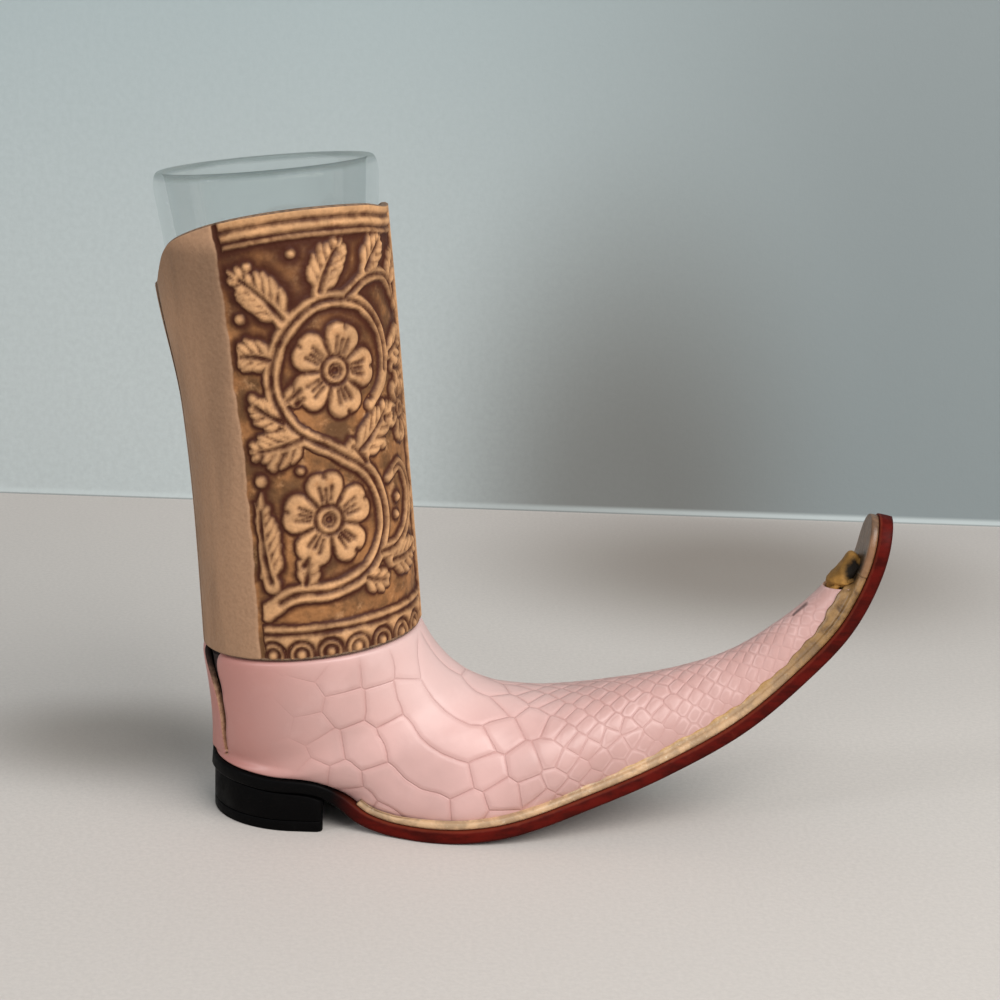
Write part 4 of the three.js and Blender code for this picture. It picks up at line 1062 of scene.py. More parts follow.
class BOOTGLASS_OT_sleeve(bpy.types.Operator):
    """Roll the tooled sleeve round the leg and press its forms into it"""

    bl_idname = "bootglass.sleeve"
    bl_label = "Tooled sleeve"

    def execute(self, context):
        scene = context.scene
        outer_rows, inner_rows = 214, 9
        slit, top_opening = 0.3 / SLEEVE_RADIUS, 1.3 / SLEEVE_RADIUS
        first, last = SEAM_ANGLE - slit, SEAM_ANGLE - 2 * math.pi + slit
        margin = 0.04
        phi = np.concatenate(
            [
                np.linspace(first, PANEL_NEAR + margin, 26)[:-1],
                np.linspace(PANEL_NEAR + margin, PANEL_FAR - margin, 332),
                np.linspace(PANEL_FAR - margin, last, 26)[1:],
            ]
        )
        columns = len(phi)
        ends = (first - phi) / (first - last)
        # up the outside, over the top edge, down the inside and under the lower edge
        outer_rise = np.linspace(0.004, 0.996, outer_rows)
        inner_rise = np.linspace(0.985, 0.015, inner_rows)
        rise = np.concatenate([outer_rise, [1.0, 1.0, 0.998], inner_rise, [0.002, 0, 0]])
        over = [0.22, 0.78, 1.0]
        depth = np.concatenate([np.zeros(outer_rows), over, np.ones(inner_rows), over[::-1]])
        top = sleeve_top(phi)
        station = SLEEVE_BOTTOM + rise[:, None] * (top - SLEEVE_BOTTOM)[None, :]
        # the gap between the two ends opens towards the top
        middle = (SLEEVE_BOTTOM + SLEEVE_TOP) / 2
        opening = top_opening * np.clip((station - middle) / (SLEEVE_TOP - middle), 0, 1)
        towards_end = np.sign(0.5 - ends) * smooth(np.abs(ends - 0.5), 0.38, 0.5)
        turn = np.broadcast_to(phi, station.shape) - opening * towards_end
        radius = sleeve_radius(station) - SLEEVE_THICKNESS * depth[:, None]
        u, y = radius * np.cos(turn), -radius * np.sin(turn)
        back = np.maximum(0, -u / SLEEVE_RADIUS)
        u = u + bow(station) - SLEEVE_FLARE * smooth(station, SLEEVE_TOP - 42, SLEEVE_TOP - 16) * back**3
        # press the forms
        s = (PANEL_NEAR - turn) * PANEL_RADIUS
        width = (PANEL_NEAR - PANEL_FAR) * PANEL_RADIUS
        up = station - SLEEVE_BOTTOM
        flat = np.column_stack([s.ravel(), up.ravel(), np.zeros(s.size)])
        wobble = 0.45 * ripple(flat, 17, 5).reshape(s.shape) + 0.25 * ripple(flat, 5, 6).reshape(s.shape)
        inside = np.minimum(s + wobble - 0.3, width - s + wobble - 0.3)
        whole = np.broadcast_to(top - SLEEVE_BOTTOM, s.shape)
        edge = tooling_edge(s.ravel(), up.ravel(), whole.ravel()).reshape(s.shape)
        edge = np.where(inside < 2.0, np.maximum(edge, 1.3 - inside), edge)
        press = smooth(edge, -0.75, 0.55)
        ground = 0.16 * ripple(flat, 4.2, 8).reshape(s.shape)
        bevel = smooth(inside, -0.35, 0.45)
        outside = (depth == 0)[:, None]
        depth_mm, raised_mm, crown_mm = scene.boot_sizes.relief / MM, 0.12, 0.1
        lift = outside * (raised_mm * (1 - press) - depth_mm * press * (0.8 + ground)) * bevel
        crown = outside * bevel * crown_mm * smooth(-edge, 0.3, 1.6)
        radial = lift + crown
        u, y = u + radial * np.cos(turn), y - radial * np.sin(turn)
        places = leg_to_part(u, y, station)
        ring = np.vstack([places, places[:1]])
        bm = sheet_of(ring)
        layers = {name: bm.verts.layers.float.new(name) for name in ("tool_edge", "plain_side")}
        bm.verts.index_update()
        for v in bm.verts:
            j, i = divmod(v.index, columns)
            v[layers["tool_edge"]] = edge[j % len(rise), i]
            v[layers["plain_side"]] = -inside[j % len(rise), i]
        # tooled leather outside, lining inside, and the cut edge elsewhere
        bands = [(outer_rows - 1, 0), (outer_rows + 2, 1), (outer_rows + 2 + inner_rows, 2)]
        bm.faces.index_update()
        for face in bm.faces:
            row = face.index // (columns - 1)
            face.material_index = next((number for end, number in bands if row < end), 1)
        before = set(bm.faces)
        close_up(bm)
        for face in bm.faces:
            if face not in before:
                face.material_index = 1
        colours = scene.boot_colours
        materials = [
            tooled_leather(colours),
            raw_edge(colours, "sleeve_edge", 0.85),
            raw_edge(colours, "sleeve_lining", 0.75),
        ]
        make_piece("tooled_sleeve", bm, materials, BOOT, ["shaft_sleeve"])
        return {"FINISHED"}


def scale_groups(points, chance):
    """Places of the scales on the foot and the number of the scale that each belongs to."""
    ball_end, brick_heights, tries = 73, (3.4, 8.6, 13.6, 18.4), 5000
    places, owner = [], []

    def add(chain):
        chain = np.asarray(chain, float)
        number = owner[-1] + 1 if owner else 0
        if len(chain) > 1:
            length = np.linalg.norm(np.diff(chain, axis=0), axis=1).sum()
            chain = evenly(chain, max(2, int(length / 1.2)))
        for p in chain:
            places.append(p)
            owner.append(number)

    def clear_of(place, distance):
        return np.linalg.norm(np.array(places) - place, axis=1).min() > distance

    for side in (1, -1):
        for chain in BROAD_SCALES:
            add(np.array(chain) * np.array([1, side, 1]))

    def ring_at(row):
        ring = foot_ring(row)
        hops = np.linalg.norm(np.diff(ring, axis=0), axis=1)
        return ring, np.concatenate([[0], np.cumsum(hops)])

    def on_ring(ring, lengths, where):
        return np.array([np.interp(where, lengths, ring[:, c]) for c in range(3)])

    def on_ridge(ring):
        return ring[len(ring) // 2]

    # brick-shaped scales low on the ball of the foot
    under = np.array([r[0] for r in ring_rows])
    for level, height in enumerate(brick_heights):
        for count in range(7):
            share = 0.36 + (count + 0.5 * (level % 2)) * 0.031
            ring, lengths = ring_at(float(np.interp(share, under, np.arange(len(under)))))
            for where in (height, lengths[-1] - height):
                place = on_ring(ring, lengths, where)
                if clear_of(place, 6.6 if place[0] < ball_end else 4.3):
                    add([place])
    # diamonds in rows that run round the foot towards the toe
    rows = range(8, 19)
    row, k = float(np.interp(67.0, [on_ridge(foot_ring(r))[0] for r in rows], rows)), 0
    while row < UPPER_END + 0.2:
        ring, lengths = ring_at(row)
        x = on_ridge(ring)[0]
        wide = float(np.interp(x, [64, 80, 100, 130], [6.2, 5.0, 4.1, 3.2]))
        half = int(lengths[-1] / 2 / wide) + 2
        for m in range(-half, half + 1):
            where = lengths[-1] / 2 + (m + 0.5 * (k % 2)) * wide + chance.uniform(-0.2, 0.2)
            if -1.5 < where < lengths[-1] + 1.5:
                place = on_ring(ring, lengths, where)
                if clear_of(place, max(wide * 0.55, 5.6 if place[0] < ball_end and abs(place[1]) > 4 else 0)):
                    add([place])
        row += 0.05 * wide * 0.53 / np.linalg.norm(on_ridge(foot_ring(row + 0.05)) - on_ridge(ring))
        k += 1
    # everything left bare gets scales of the ankle's size
    for index in chance.permutation(len(points))[:tries]:
        p = points[index]
        if p[0] < ball_end + 1 and clear_of(p, 7.2 if p[0] < 32 else 8.6 if p[0] < 60 else 6.4):
            add([p])
    return np.array(places), np.array(owner)


def scale_fields(points, places, owner):
    """Distances to the nearest scale of each of six colours, and how much further the second scale is.

    No two scales that meet share a colour."""
    colours, neighbours, touch, chunk = 6, 4, 1.2, 2000
    count = owner.max() + 1
    starts = np.searchsorted(owner, np.arange(count))
    groups = np.empty((len(points), count), np.float32)
    squares = (places**2).sum(axis=1)
    for k in range(0, len(points), chunk):
        p = points[k : k + chunk]
        d = np.sqrt(np.maximum((p**2).sum(axis=1)[:, None] + squares[None, :] - 2 * p @ places.T, 0))
        groups[k : k + chunk] = np.minimum.reduceat(d, starts, axis=1)
    order = np.argpartition(groups, neighbours, axis=1)[:, :neighbours]
    near = np.take_along_axis(groups, order, axis=1)
    rank = np.argsort(near, axis=1)
    order = np.take_along_axis(order, rank, axis=1)
    near = np.take_along_axis(near, rank, axis=1)
    touching = [set() for _ in range(count)]
    for a in range(neighbours):
        for b in range(a + 1, neighbours):
            close = near[:, b] - near[:, 0] < touch
            for m, n in {tuple(pair) for pair in order[close][:, [a, b]].tolist()}:
                touching[m].add(n)
                touching[n].add(m)
    colour = np.full(count, -1)
    for m in sorted(range(count), key=lambda n: -len(touching[n])):
        used = {colour[n] for n in touching[m]}
        free = [c for c in range(colours) if c not in used]
        colour[m] = free[0] if free else colours - 1
    fields = np.stack(
        [
            groups[:, colour == c].min(axis=1) if (colour == c).any() else np.full(len(points), 99.0)
            for c in range(colours)
        ],
        axis=1,
    )
    return np.minimum(fields, 20), near[:, 1] - near[:, 0]


def seam_frame():
    """The back seam: its foot, its length and the directions across, up and out of it."""
    x, z = leg_point(0, SLEEVE_BOTTOM)
    high = np.array([x + SLEEVE_RADIUS * math.cos(SEAM_ANGLE), -SLEEVE_RADIUS * math.sin(SEAM_ANGLE), z])
    x = 3.6
    low = np.array([x, -float(sole_half_width(sole_share_at(x), FEATHER_BACK)), heel_seat[1]])
    length = np.linalg.norm(high - low)
    up = (high - low) / length
    out = np.array([math.cos(SEAM_ANGLE), -math.sin(SEAM_ANGLE), 0])
    across = np.cross(up, out)
    across /= np.linalg.norm(across)
    return low, length, across, up, np.cross(across, up)


def open_seam(bm, gape):
    """Takes the faces in the back seam away, and draws the edges left to its line."""
    low, length, across, up, out = seam_frame()
    reach, passes = 1.3, 12

    def in_seam(place):
        """A place from the seam's foot, its way from the gap's middle, half the gap, and if it is near."""
        p = np.array(place) / MM - np.array([HEEL_BACK, 0, 0]) - low
        share = min(max(p @ up / length, 0), 1.2)
        edges = float(between(SEAM_EDGES, share, 1)), float(between(SEAM_EDGES, share, 2))
        half = (edges[1] - edges[0]) / 2 * gape
        return p, p @ across - sum(edges) / 2, half, p @ out > -6 and p @ up > 1.0

    def draw_to_edge(v, side):
        p, aside, half, _ = in_seam(v.co)
        v.co = to_part(p + low + across * (side * half - aside))

    gone = []
    for face in bm.faces:
        _, aside, half, near = in_seam(face.calc_center_median())
        if near and abs(aside) < max(half, 0.5):
            gone.append(face)
    bmesh.ops.delete(bm, geom=gone, context="FACES")
    sides = {}
    for v in bm.verts:
        if v.is_boundary:
            p, aside, half, near = in_seam(v.co)
            if near and abs(aside) < half + reach and p @ up < length + 6:
                sides[v] = math.copysign(1, aside)
                draw_to_edge(v, sides[v])
    # the edges are drawn even, and the leather beside them follows
    beside = {e.other_vert(v) for v in sides for e in v.link_edges} - set(sides)
    beside |= {e.other_vert(v) for v in beside for e in v.link_edges} - set(sides)
    beside = [v for v in beside if not v.is_boundary]
    for _ in range(passes):
        moves = {}
        for v, side in sides.items():
            along = [e.other_vert(v) for e in v.link_edges if e.is_boundary]
            if len(along) == 2 and all(sides.get(other) == side for other in along):
                moves[v] = (v.co * 2 + along[0].co + along[1].co) / 4
        for v, place in moves.items():
            v.co = place
            draw_to_edge(v, sides[v])
        bmesh.ops.smooth_vert(
            bm, verts=beside, factor=0.35, use_axis_x=True, use_axis_y=True, use_axis_z=True
        )


class BOOTGLASS_OT_upper(bpy.types.Operator):
    """Draw the scaled leather over the foot, open at its back seam"""

    bl_idname = "bootglass.upper"
    bl_label = "Scaled upper"

    def execute(self, context):
        scene = context.scene
        rows, columns, tuck, tuck_step, passes = 262, 168, 3, 1.8, 50
        numbers = foot_rows(0, UPPER_END + LEATHER_OVERLAP, rows)
        places = np.empty((rows, columns + 2 * tuck, 3))
        for j, row in enumerate(numbers):
            ring = evenly(foot_ring(row), columns)
            under = float(at_row(ring_rows, row, 0))
            for k in range(tuck):
                for side, index in ((1, tuck - 1 - k), (-1, tuck + columns + k)):
                    foot = ring[0 if side == 1 else -1].copy()
                    foot[1] = side * max(abs(foot[1]) - tuck_step * (k + 1), 0) if under >= 0 else 0.0
                    places[j, index] = foot
            places[j, tuck : tuck + columns] = ring
        # ease the bend where the back of the heel turns into the seat
        bend = int(np.argmin(np.abs(at_row(ring_rows, numbers, 0))))
        near_bend = smooth(34 - np.abs(np.arange(rows) - bend), 0, 22)
        column = np.arange(columns + 2 * tuck)
        clear_of_edge = smooth(np.minimum(column, column[::-1]) - tuck, 1, 10)
        weight = (near_bend[:, None] * clear_of_edge[None, :])[:, :, None]
        for _ in range(passes):
            total = places[:-4] + 2 * places[1:-3] + 3 * places[2:-2] + 2 * places[3:-1] + places[4:]
            eased = places.copy()
            eased[2:-2] = total / 9
            places = places + weight * (eased - places)
        bm = sheet_of(to_part(places))
        bmesh.ops.remove_doubles(bm, verts=bm.verts, dist=2e-5)
        bmesh.ops.dissolve_degenerate(bm, edges=bm.edges, dist=1e-6)
        bmesh.ops.recalc_face_normals(bm, faces=bm.faces)
        middle = Vector(to_part([40, 0, 25]))
        facing = sum(f.normal.dot(f.calc_center_median() - middle) for f in bm.faces)
        if facing < 0:
            bmesh.ops.reverse_faces(bm, faces=bm.faces)
        open_seam(bm, scene.boot_sizes.seam_gape)
        colours = scene.boot_colours
        materials = [scaled_leather(colours), cut_edge(), raw_edge(colours, "upper_lining", 0.3)]
        piece = make_piece("scaled_upper", bm, materials, BOOT, ["foot_upper"])
        mesh = piece.data
        points = places_of(mesh)
        scales, owner = scale_groups(points, np.random.default_rng(11))
        fields, apart = scale_fields(points, scales, owner)
        station = station_of(points)
        strength = smooth(-station, -(SLEEVE_BOTTOM - 0.4), -(SLEEVE_BOTTOM - 4.0))
        strength = strength * (0.05 + 0.95 * smooth(points[:, 0], 13, 38))
        _, over = height_over_sole(points)
        patches = 0.5 + 0.5 * ripple(points, 26, 17, 2)
        low_toe = smooth(points[:, 0], 74, 96) * (1 - smooth(over, 5, 13))
        strength = strength * (1 - 0.6 * low_toe) * (1 - 0.4 * smooth(points[:, 0], 66, 84) * patches)
        give(mesh, "scale_field_a", fields[:, :3])
        give(mesh, "scale_field_b", fields[:, 3:])
        give(mesh, "scale_strength", strength)
        # a short nick on the ridge behind the toe
        start, stop = (np.array(p) for p in NICK)
        t = np.clip((points - start) @ (stop - start) / ((stop - start) @ (stop - start)), 0, 1)
        nick = np.linalg.norm((points - start - t[:, None] * (stop - start)) * np.array([1, 0.6, 1]), axis=1)
        give(mesh, "nick_share", 0.8 * (1 - smooth(nick, 0.1, 0.45 + 0.35 * t)))
        small = smooth(points[:, 0], 55, 85)
        swell = scene.boot_sizes.scale_relief * (0.7 - 0.1 * small)
        lift = (smooth(apart, 0.0, 1.6) - 0.55) * swell * strength
        set_vertices(mesh, vertices(mesh) + vertex_normals(mesh) * lift[:, None])
        shell = piece.modifiers.new("thickness", "SOLIDIFY")
        shell.thickness = LEATHER * MM
        shell.offset = -1
        shell.use_even_offset = True
        shell.thickness_clamp = 0
        shell.material_offset = 2
        shell.material_offset_rim = 1
        return {"FINISHED"}


def closed_strip(shares, section):
    """A strip that follows the sole: a loop of (half width, offset) at each share, closed at both ends."""
    rings = []
    for share in shares:
        loop = section(share)
        loop = loop + [loop[0]]
        centre = sole_point(np.full(len(loop), share), np.array([offset for _, offset in loop]))
        rings.append(np.column_stack([centre[:, 0], [w for w, _ in loop], centre[:, 1]]))
    return np.array(rings)


def strip_mesh(shares, section):
    bm = sheet_of(to_part(closed_strip(shares, section)))
    close_up(bm, 1e-6)
    return bm


def rounded_section(half, low, high, radius, side_steps=4, face_steps=6):
    """A flat loop with rounded sides, from -half to half and from low to high."""
    radius = max(min(radius, half * 0.9, (high - low) / 2 - 0.01), 1e-3)
    flat = half - radius
    return (
        [(w, low) for w in np.linspace(-flat, flat, face_steps)]
        + arc(flat, low + radius, radius, -math.pi / 2, 0, side_steps)[1:]
        + arc(flat, high - radius, radius, 0, math.pi / 2, side_steps)
        + [(w, high) for w in np.linspace(flat, -flat, face_steps)][1:]
        + arc(-flat, high - radius, radius, math.pi / 2, math.pi, side_steps)[1:]
        + arc(-flat, low + radius, radius, math.pi, 1.5 * math.pi, side_steps)[:-1]
    )


def end_eased(first, last, count, ease_first=True):
    """Shares that crowd towards the rounded ends."""
    t = np.linspace(0, 1, count)
    eased = 0.5 - 0.5 * np.cos(np.pi * t) if ease_first else np.sin(np.pi / 2 * t)
    return first + (last - first) * (0.55 * eased + 0.45 * t)


def height_over_sole(points):
    """The share of the sole's length at each point, and the height over its top there."""
    shares = np.linspace(0, 1, 601)
    line = sole_point(shares)
    near = np.argmin(
        (points[:, 0, None] - line[None, :, 0]) ** 2 + (points[:, 2, None] - line[None, :, 1]) ** 2, axis=1
    )
    normals = sole_line.normal(sole_line.along(shares))[near]
    return shares[near], ((points[:, [0, 2]] - line[near]) * normals).sum(axis=1)


class BOOTGLASS_OT_outsole(bpy.types.Operator):
    """Lay the outsole from the heel to the tip of the toe"""

    bl_idname = "bootglass.outsole"
    bl_label = "Outsole"

    def execute(self, context):
        shares = end_eased(0.0, 1.0, 190)

        def section(share):
            half = float(sole_half_width(share))
            return rounded_section(max(half, 0.0), -SOLE_THICKNESS, 0.0, 0.6)

        bm = strip_mesh(shares, section)
        leather = sole_leather(context.scene.boot_colours)
        piece = make_piece("sole", bm, [leather], BOOT, ["outsole"])
        points = places_of(piece.data)
        give(piece.data, "rise_share", 1 + height_over_sole(points)[1] / SOLE_THICKNESS)
        return {"FINISHED"}


def welt_inner(share, heights):
    """Half widths of the foot at heights over the sole's top."""
    under = np.array([r[0] for r in ring_rows])
    row = float(np.interp(share, under, np.arange(len(under))))
    ring = foot_ring(row)
    ring = ring[: len(ring) // 2]
    low = sole_point(share, 0.0)
    normal = sole_line.normal(sole_line.along(share))
    height = (ring[:, [0, 2]] - low) @ normal
    order = np.argsort(height)
    return np.interp(np.maximum(heights, GAP), height[order], ring[order, 1]) + GAP * 0.4


class BOOTGLASS_OT_welt(bpy.types.Operator):
    """Run the welt along both sides of the foot and over the tip"""

    bl_idname = "bootglass.welt"
    bl_label = "Welt"

    def execute(self, context):
        low, high = GAP * 0.3, GAP + WELT_THICKNESS
        # the two sides end inside the tip's own piece, which begins at this share
        meet = 0.925
        whole = bmesh.new()

        def add(shares, section):
            part = strip_mesh(shares, section)
            mesh = bpy.data.meshes.new("welt_part")
            part.to_mesh(mesh)
            part.free()
            whole.from_mesh(mesh)
            bpy.data.meshes.remove(mesh)

        for side in (1, -1):

            def section(share, side=side):
                outer = float(sole_half_width(share, WELT_SETBACK))
                fade = float(smooth(share, meet - 0.03, meet))
                start = float(smooth(share, 0.19, 0.215))
                # towards the toe, filler is smeared from the welt up the side of the foot
                ragged = 0.2 * math.sin(share * 97 + side) + 0.16 * math.sin(share * 251 + 2 * side)
                rise = 1.0 * float(smooth(share, 0.42, 0.62)) + 1.1 * float(smooth(share, 0.78, 0.89))
                climb = (0.12 + rise + ragged * float(smooth(share, 0.4, 0.5))) * (1 - fade)
                climb = max(climb, 0.1)
                heights = np.array([low, high, high + climb * 0.5, high + climb])
                reach = welt_inner(share, heights) * (1 - fade)
                outer = reach[1] + (outer - reach[1]) * (0.25 + 0.75 * start)
                edge_round, half = 0.7, (high - low) / 2
                ledge = outer - edge_round
                loop = [(reach[0], low), (ledge, low)]
                for a in np.linspace(-math.pi / 2, math.pi / 2, 9):
                    loop.append((ledge + edge_round * math.cos(a), low + half + half * math.sin(a)))
                loop += [
                    (ledge, high),
                    (reach[1] + (ledge - reach[1]) * 0.55, high + climb * 0.12),
                    (reach[2] + 0.42, high + climb * 0.55),
                    (reach[3] + 0.22, high + climb * 0.92),
                    (reach[3], high + climb),
                    (reach[2] - 0.1, high + climb * 0.5),
                    (reach[1] - 0.1, high),
                ]
                return [(side * w, o) for w, o in loop]

            add(np.linspace(0.195, meet + 0.004, 150), section)

        def tip(share):
            return rounded_section(max(float(sole_half_width(share, WELT_SETBACK)), 0.0), low, high, 0.6)

        add(end_eased(meet, 1 - WELT_SETBACK / sole_line.length, 40, ease_first=False), tip)
        leather = welt_leather(context.scene.boot_colours)
        piece = make_piece("welt_strip", whole, [leather], BOOT, ["welt"])
        points = places_of(piece.data)
        share, height = height_over_sole(points)
        give(piece.data, "toe_share", share)
        give(piece.data, "climb_share", (height - high) / 2.4)
        # where the filler hollow's painted shade spreads onto the welt's tip
        stain_and_shade = np.linalg.norm((points - np.array(TIP_SHADE)) / np.array(TIP_SHADE_REACH), axis=1)
        give(piece.data, "tip_shade_share", 1 - smooth(stain_and_shade, 0.55, 1.0))
        return {"FINISHED"}


class BOOTGLASS_OT_heel(bpy.types.Operator):
    """Stack the heel block and its cap"""

    bl_idname = "bootglass.heel"
    bl_label = "Heel"

    MIDDLE = (14.0, 0.0)
    COUNT = 150

    def outline(self, inset):
        """The D of the heel, from the middle of the breast round the back."""
        corner = 1.6
        side = HEEL_LENGTH - corner
        turns = np.linspace(0, math.pi, 80)
        back = [(HEEL_END - HEEL_END * math.sin(a), HEEL_HALF_WIDTH * math.cos(a)) for a in turns]
        t = np.linspace(0, 1, 12)[:, None]

        def curve(a, b, c):
            a, b, c = (np.array(p, float) for p in (a, b, c))
            return [tuple(p) for p in a * (1 - t) ** 2 + 2 * b * t * (1 - t) + c * t**2]

        w, far = HEEL_HALF_WIDTH, HEEL_LENGTH
        points = (
            curve((far - 1.2, 0), (far - 1.0, w / 2), (far, w - corner))
            + curve((far, w - corner), (far, w), (side, w))
            + back
            + curve((side, -w), (far, -w), (far, corner - w))
            + curve((far, corner - w), (far - 1.0, -w / 2), (far - 1.2, 0))
        )
        line = np.array([p for k, p in enumerate(points) if k == 0 or p != points[k - 1]])
        away = line - np.array(self.MIDDLE)
        line = line - away / np.linalg.norm(away, axis=1, keepdims=True) * inset
        return evenly(np.column_stack([line, np.zeros(len(line))]), self.COUNT)[:, :2]

    def block(self, name, low, high, material, slot, replaced):
        # rings from the middle of the bottom to that of the top: inset, share of the height, millimetres more
        levels = [
            (None, 0, 0), (1.6, 0, 0), (0.2, 0, 0), (0.06, 0, 0.07), (0, 0, 0.22), (0, 0.5, 0), (0, 1, -0.22),
            (0.06, 1, -0.07), (0.2, 1, 0), (1.6, 1, 0), (None, 1, 0),
        ]
        rings = []
        for inset, share, rise in levels:
            line = np.tile([self.MIDDLE], (self.COUNT, 1)) if inset is None else self.outline(inset)
            bottom, top = low(line[:, 0]), high(line[:, 0])
            rings.append(np.column_stack([line, bottom + (top - bottom) * share + rise]))
        bm = sheet_of(to_part(np.array(rings)))
        close_up(bm, 1e-6)
        return make_piece(name, bm, [material], BOOT, replaced)

    def execute(self, context):
        material = black_heel(context.scene.boot_colours)
        shares = np.linspace(0, 0.35, 300)
        under = sole_point(shares, np.full(300, -SOLE_THICKNESS - GAP * 0.5))

        def sole_under(x):
            return np.interp(x, under[:, 0], under[:, 1])

        def level(z):
            return lambda x: np.full(len(x), z)

        self.block("heel_lift", level(0.0), level(HEEL_CAP), material, "black_heel", ["heel_cap"])
        self.block("heel_stack", level(HEEL_CAP + 0.1), sole_under, material, "black_heel", ["heel_block"])
        return {"FINISHED"}


class BOOTGLASS_OT_filler(bpy.types.Operator):
    """Fill the foot, and leave the filler bare at the toe"""

    bl_idname = "bootglass.filler"
    bl_label = "Filler"

    def execute(self, context):
        columns = 90
        bare = UPPER_END + LEATHER_OVERLAP + 0.12
        end = LAST_ROW - 0.15
        covered = bare - 0.12
        numbers = np.concatenate(
            [
                foot_rows(0, covered - 0.2, 120),
                np.linspace(covered - 0.1, bare, 5),
                foot_rows(bare + 0.03, end, 45),
            ]
        )
        knots = [0, 0.3, 0.9, covered - 1.0, covered, bare, bare + 0.12, end]
        inset = np.interp(numbers, knots, [1.65, 1.65, 2.7, 2.4, 1.75, 1.2, 0.45, 0.5])
        clear = np.interp(numbers, [0, covered, bare], [3.7, 3.7, 0.7])
        rings = []
        for row, inward, floor in zip(numbers, inset, clear):
            ring = foot_ring(row, inward, floor=floor - inward)
            rings.append(np.vstack([evenly(ring, columns), ring[:1]]))
        rings = np.array(rings)
        # the end closes in a blunt round
        last, centre = rings[-1], rings[-1].mean(axis=0)
        ahead = rings[-1].mean(axis=0) - rings[-6].mean(axis=0)
        ahead /= np.linalg.norm(ahead)
        turns = np.linspace(0.15, math.pi / 2, 10)
        bulge = ahead * 1.1
        caps = [centre + (last - centre) * math.cos(a) + bulge * math.sin(a) for a in turns]
        first, middle = rings[0], rings[0].mean(axis=0)
        lids = [middle + (first - middle) * k for k in (0.0, 0.5, 0.97)]
        rings = np.vstack([np.array(lids), rings, np.array(caps)])
        bm = sheet_of(to_part(rings))
        close_up(bm, 1e-5)
        filler = toe_filler(context.scene.boot_colours)
        piece = make_piece("foot_filler", bm, [filler], BOOT, ["foot_core"])
        points = places_of(piece.data)
        # a hollow on the near side, where the filler meets the tip, dented and darkened as painted shade
        hollow = np.linalg.norm((points - np.array(HOLLOW)) / np.array(HOLLOW_REACH), axis=1)
        deep = 1 - smooth(hollow, 0.35, 1.0)
        give(piece.data, "recess_share", deep)
        normal = vertex_normals(piece.data)
        lumps = 0.25 * ripple(points, 9, 3) + 0.12 * ripple(points, 3.5, 4)
        proud = np.maximum(0, normal @ np.array([-0.64, 0, 0.77])) * smooth(points[:, 0], 130.5, 133.5)
        proud_mm, hollow_mm = 0.95, 1.5
        lumps = lumps * smooth(points[:, 0], 128, 134) + proud_mm * proud - hollow_mm * deep
        set_vertices(piece.data, vertices(piece.data) + normal * (lumps * MM)[:, None])
        return {"FINISHED"}


class BOOTGLASS_OT_inner_parts(bpy.types.Operator):
    """Give the hidden pieces their finishes"""

    bl_idname = "bootglass.inner_parts"
    bl_label = "Hidden pieces"

    def execute(self, context):
        finishes = {
            "seam_backing": plain_fibre("raw_backing", (0.15, 0.08, 0.06)),
            "insole_board": plain_fibre("insole_fibre", (0.6, 0.5, 0.38)),
            "heel_nail": nail_steel(),
        }
        for name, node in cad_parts.items():
            for start, finish in finishes.items():
                if name.startswith(start):
                    node.data.materials.clear()
                    node.data.materials.append(finish)
        return {"FINISHED"}


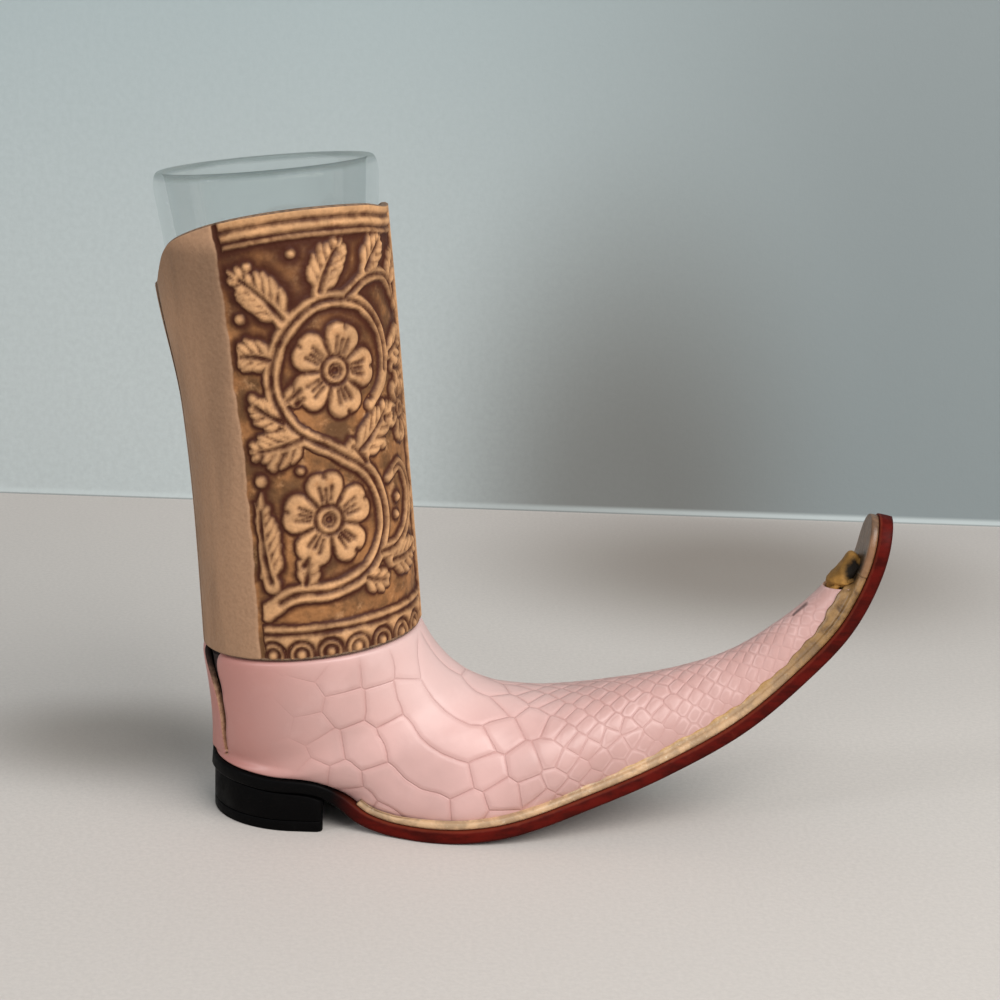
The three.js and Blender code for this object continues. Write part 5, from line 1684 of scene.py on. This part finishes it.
class BOOTGLASS_OT_stage(bpy.types.Operator):
    """Set the table, the wall, the lamps and the camera"""

    bl_idname = "bootglass.stage"
    bl_label = "Stage"

    def plane(self, name, corners, material):
        bm = bmesh.new()
        bm.faces.new([bm.verts.new(c) for c in corners])
        mesh = bpy.data.meshes.new(name)
        bm.to_mesh(mesh)
        bm.free()
        made = bpy.data.objects.new(name, mesh)
        mesh.materials.append(material)
        bpy.context.scene.collection.objects.link(made)

    def ground(self, name, colour, scale, shadows, upright=False):
        """A matt colour with soft round shadows: each a middle, a reach, a colour and a strength."""
        f = Finish(name, roughness=0.75)
        grain = f.noise(scale, 5, 0.7)
        cloud = f.noise(4, 3, 0.5)
        tone = f.mix(f.fit(grain, 0.3, 0.7), colour, shade(colour, 0.95))
        tone = f.mix(f.fit(cloud, 0.3, 0.7, 0, 0.35), tone, shade(colour, 0.92))
        x, y, z = f.parts_of(f.place)
        if upright:
            # painted shade: the wall darker and cooler towards the top
            tone = f.mix(f.fit(z, 0.02, 0.26), tone, (0.62, 0.68, 0.69))
        for middle, reach, dark, strength in shadows:
            away = [
                f.sum("DIVIDE", f.minus(value, at), far)
                for value, at, far in zip((x, z if upright else y), middle, reach)
            ]
            away = f.plus(f.times(away[0], away[0]), f.times(away[1], away[1]))
            tone = f.mix(f.fit(f.sum("SQRT", away), 0.15, 1.0, strength, 0), tone, dark)
        if upright:
            # a light band, and a thin line of painted shade in the corner along the foot
            band = f.times(f.fit(z, 0.0012, 0.003, 1, 0), f.fit(x, -0.05, 0.12, 0.25, 0.6))
            tone = f.mix(band, tone, (0.86, 0.9, 0.9))
            tone = f.mix(f.fit(z, 0.0002, 0.0007, 0.5, 0), tone, (0.3, 0.29, 0.27))
            # painted shade on the wall's far sides, out of view, so that the glass's edges and the boot's
            # sides catch less light
            sides = f.fit(f.sum("ABSOLUTE", x), 0.22, 0.5, 0, 0.2)
            tone = f.mix(sides, tone, (0.2, 0.21, 0.21))
            # seen from behind it is open
            facing = f.node("ShaderNodeNewGeometry")
            f.blend(facing.outputs["Backfacing"], f.shader, f.node("ShaderNodeBsdfTransparent"))
        return f.done(tone, None, f.bump(grain, 0.0004, 0.2))

    def lamp(self, name, place, target, size, power, colour):
        data = bpy.data.lights.new(name, "AREA")
        data.shape = "RECTANGLE"
        data.size, data.size_y = size
        data.energy = power
        data.color = colour
        made = bpy.data.objects.new(name, data)
        made.location = place
        made.rotation_euler = (Vector(target) - Vector(place)).to_track_quat("-Z", "Y").to_euler()
        bpy.context.scene.collection.objects.link(made)

    def execute(self, context):
        scene = context.scene
        colours = scene.boot_colours
        far = WALL_Y
        table = self.ground(
            "table_top", colours.table, 900,
            [
                ((0.072, 0.205), (0.11, 0.1), (0.55, 0.51, 0.475), 0.85),
                ((-0.096, 0.036), (0.055, 0.04), (0.55, 0.51, 0.475), 0.68),
            ],
        )
        wall = self.ground(
            "wall_paint", colours.wall, 500,
            [
                ((0.17, 0.0), (0.25, 0.9), (0.53, 0.565, 0.57), 1.0),
                ((0.038, 0.0), (0.09, 0.15), (0.4, 0.39, 0.37), 0.75),
            ],
            upright=True,
        )
        self.plane("table", [(-3, -3, 0), (3, -3, 0), (3, far, 0), (-3, far, 0)], table)
        self.plane("wall", [(-3, far, 0), (3, far, 0), (3, far, 3), (-3, far, 3)], wall)
        self.lamp("key", (0.42, -0.5, 0.62), (0, 0, 0.05), (0.72, 0.6), 7.6, (1, 0.985, 0.96))
        self.lamp("fill", (-0.72, -0.5, 0.42), (-0.06, 0, 0.12), (0.2, 0.12), 1.7, (0.96, 0.98, 1))
        world = bpy.data.worlds.new("studio")
        world.use_nodes = True
        sky = world.node_tree.nodes["Background"]
        sky.inputs["Color"].default_value = (0.93, 0.96, 1.0, 1.0)
        sky.inputs["Strength"].default_value = 0.5
        scene.world = world
        scene.view_settings.view_transform = "Standard"
        data = bpy.data.cameras.new("camera")
        data.sensor_width = 36
        data.lens = CAMERA_LENS
        camera = bpy.data.objects.new("camera", data)
        camera.matrix_world = (
            Matrix.Translation(CAMERA_PLACE)
            @ Matrix.Rotation(CAMERA_TILT, 4, "X")
            @ Matrix.Rotation(CAMERA_ROLL, 4, "Z")
        )
        scene.collection.objects.link(camera)
        scene.camera = camera
        return {"FINISHED"}


class BOOTGLASS_PT_pieces(bpy.types.Panel):
    bl_label = "Boot shot glass"
    bl_idname = "BOOTGLASS_PT_pieces"
    bl_space_type = "VIEW_3D"
    bl_region_type = "UI"
    bl_category = "Boot glass"

    def draw(self, context):
        scene = context.scene
        for group in (scene.boot_sizes, scene.boot_colours):
            box = self.layout.box()
            for name in group.__annotations__:
                box.prop(group, name)
        column = self.layout.column()
        for operator in OPERATORS:
            column.operator(operator.bl_idname)


OPERATORS = [
    BOOTGLASS_OT_glass,
    BOOTGLASS_OT_sleeve,
    BOOTGLASS_OT_upper,
    BOOTGLASS_OT_filler,
    BOOTGLASS_OT_outsole,
    BOOTGLASS_OT_welt,
    BOOTGLASS_OT_heel,
    BOOTGLASS_OT_inner_parts,
    BOOTGLASS_OT_stage,
]
CLASSES = [BootSizes, BootColours, *OPERATORS, BOOTGLASS_PT_pieces]


def register():
    for one in CLASSES:
        bpy.utils.register_class(one)
    bpy.types.Scene.boot_sizes = PointerProperty(type=BootSizes)
    bpy.types.Scene.boot_colours = PointerProperty(type=BootColours)


def unregister():
    del bpy.types.Scene.boot_colours
    del bpy.types.Scene.boot_sizes
    for one in reversed(CLASSES):
        bpy.utils.unregister_class(one)


def main():
    register()
    for operator in OPERATORS:
        group, call = operator.bl_idname.split(".")
        getattr(getattr(bpy.ops, group), call)()


if __name__ == "__main__":
    main()
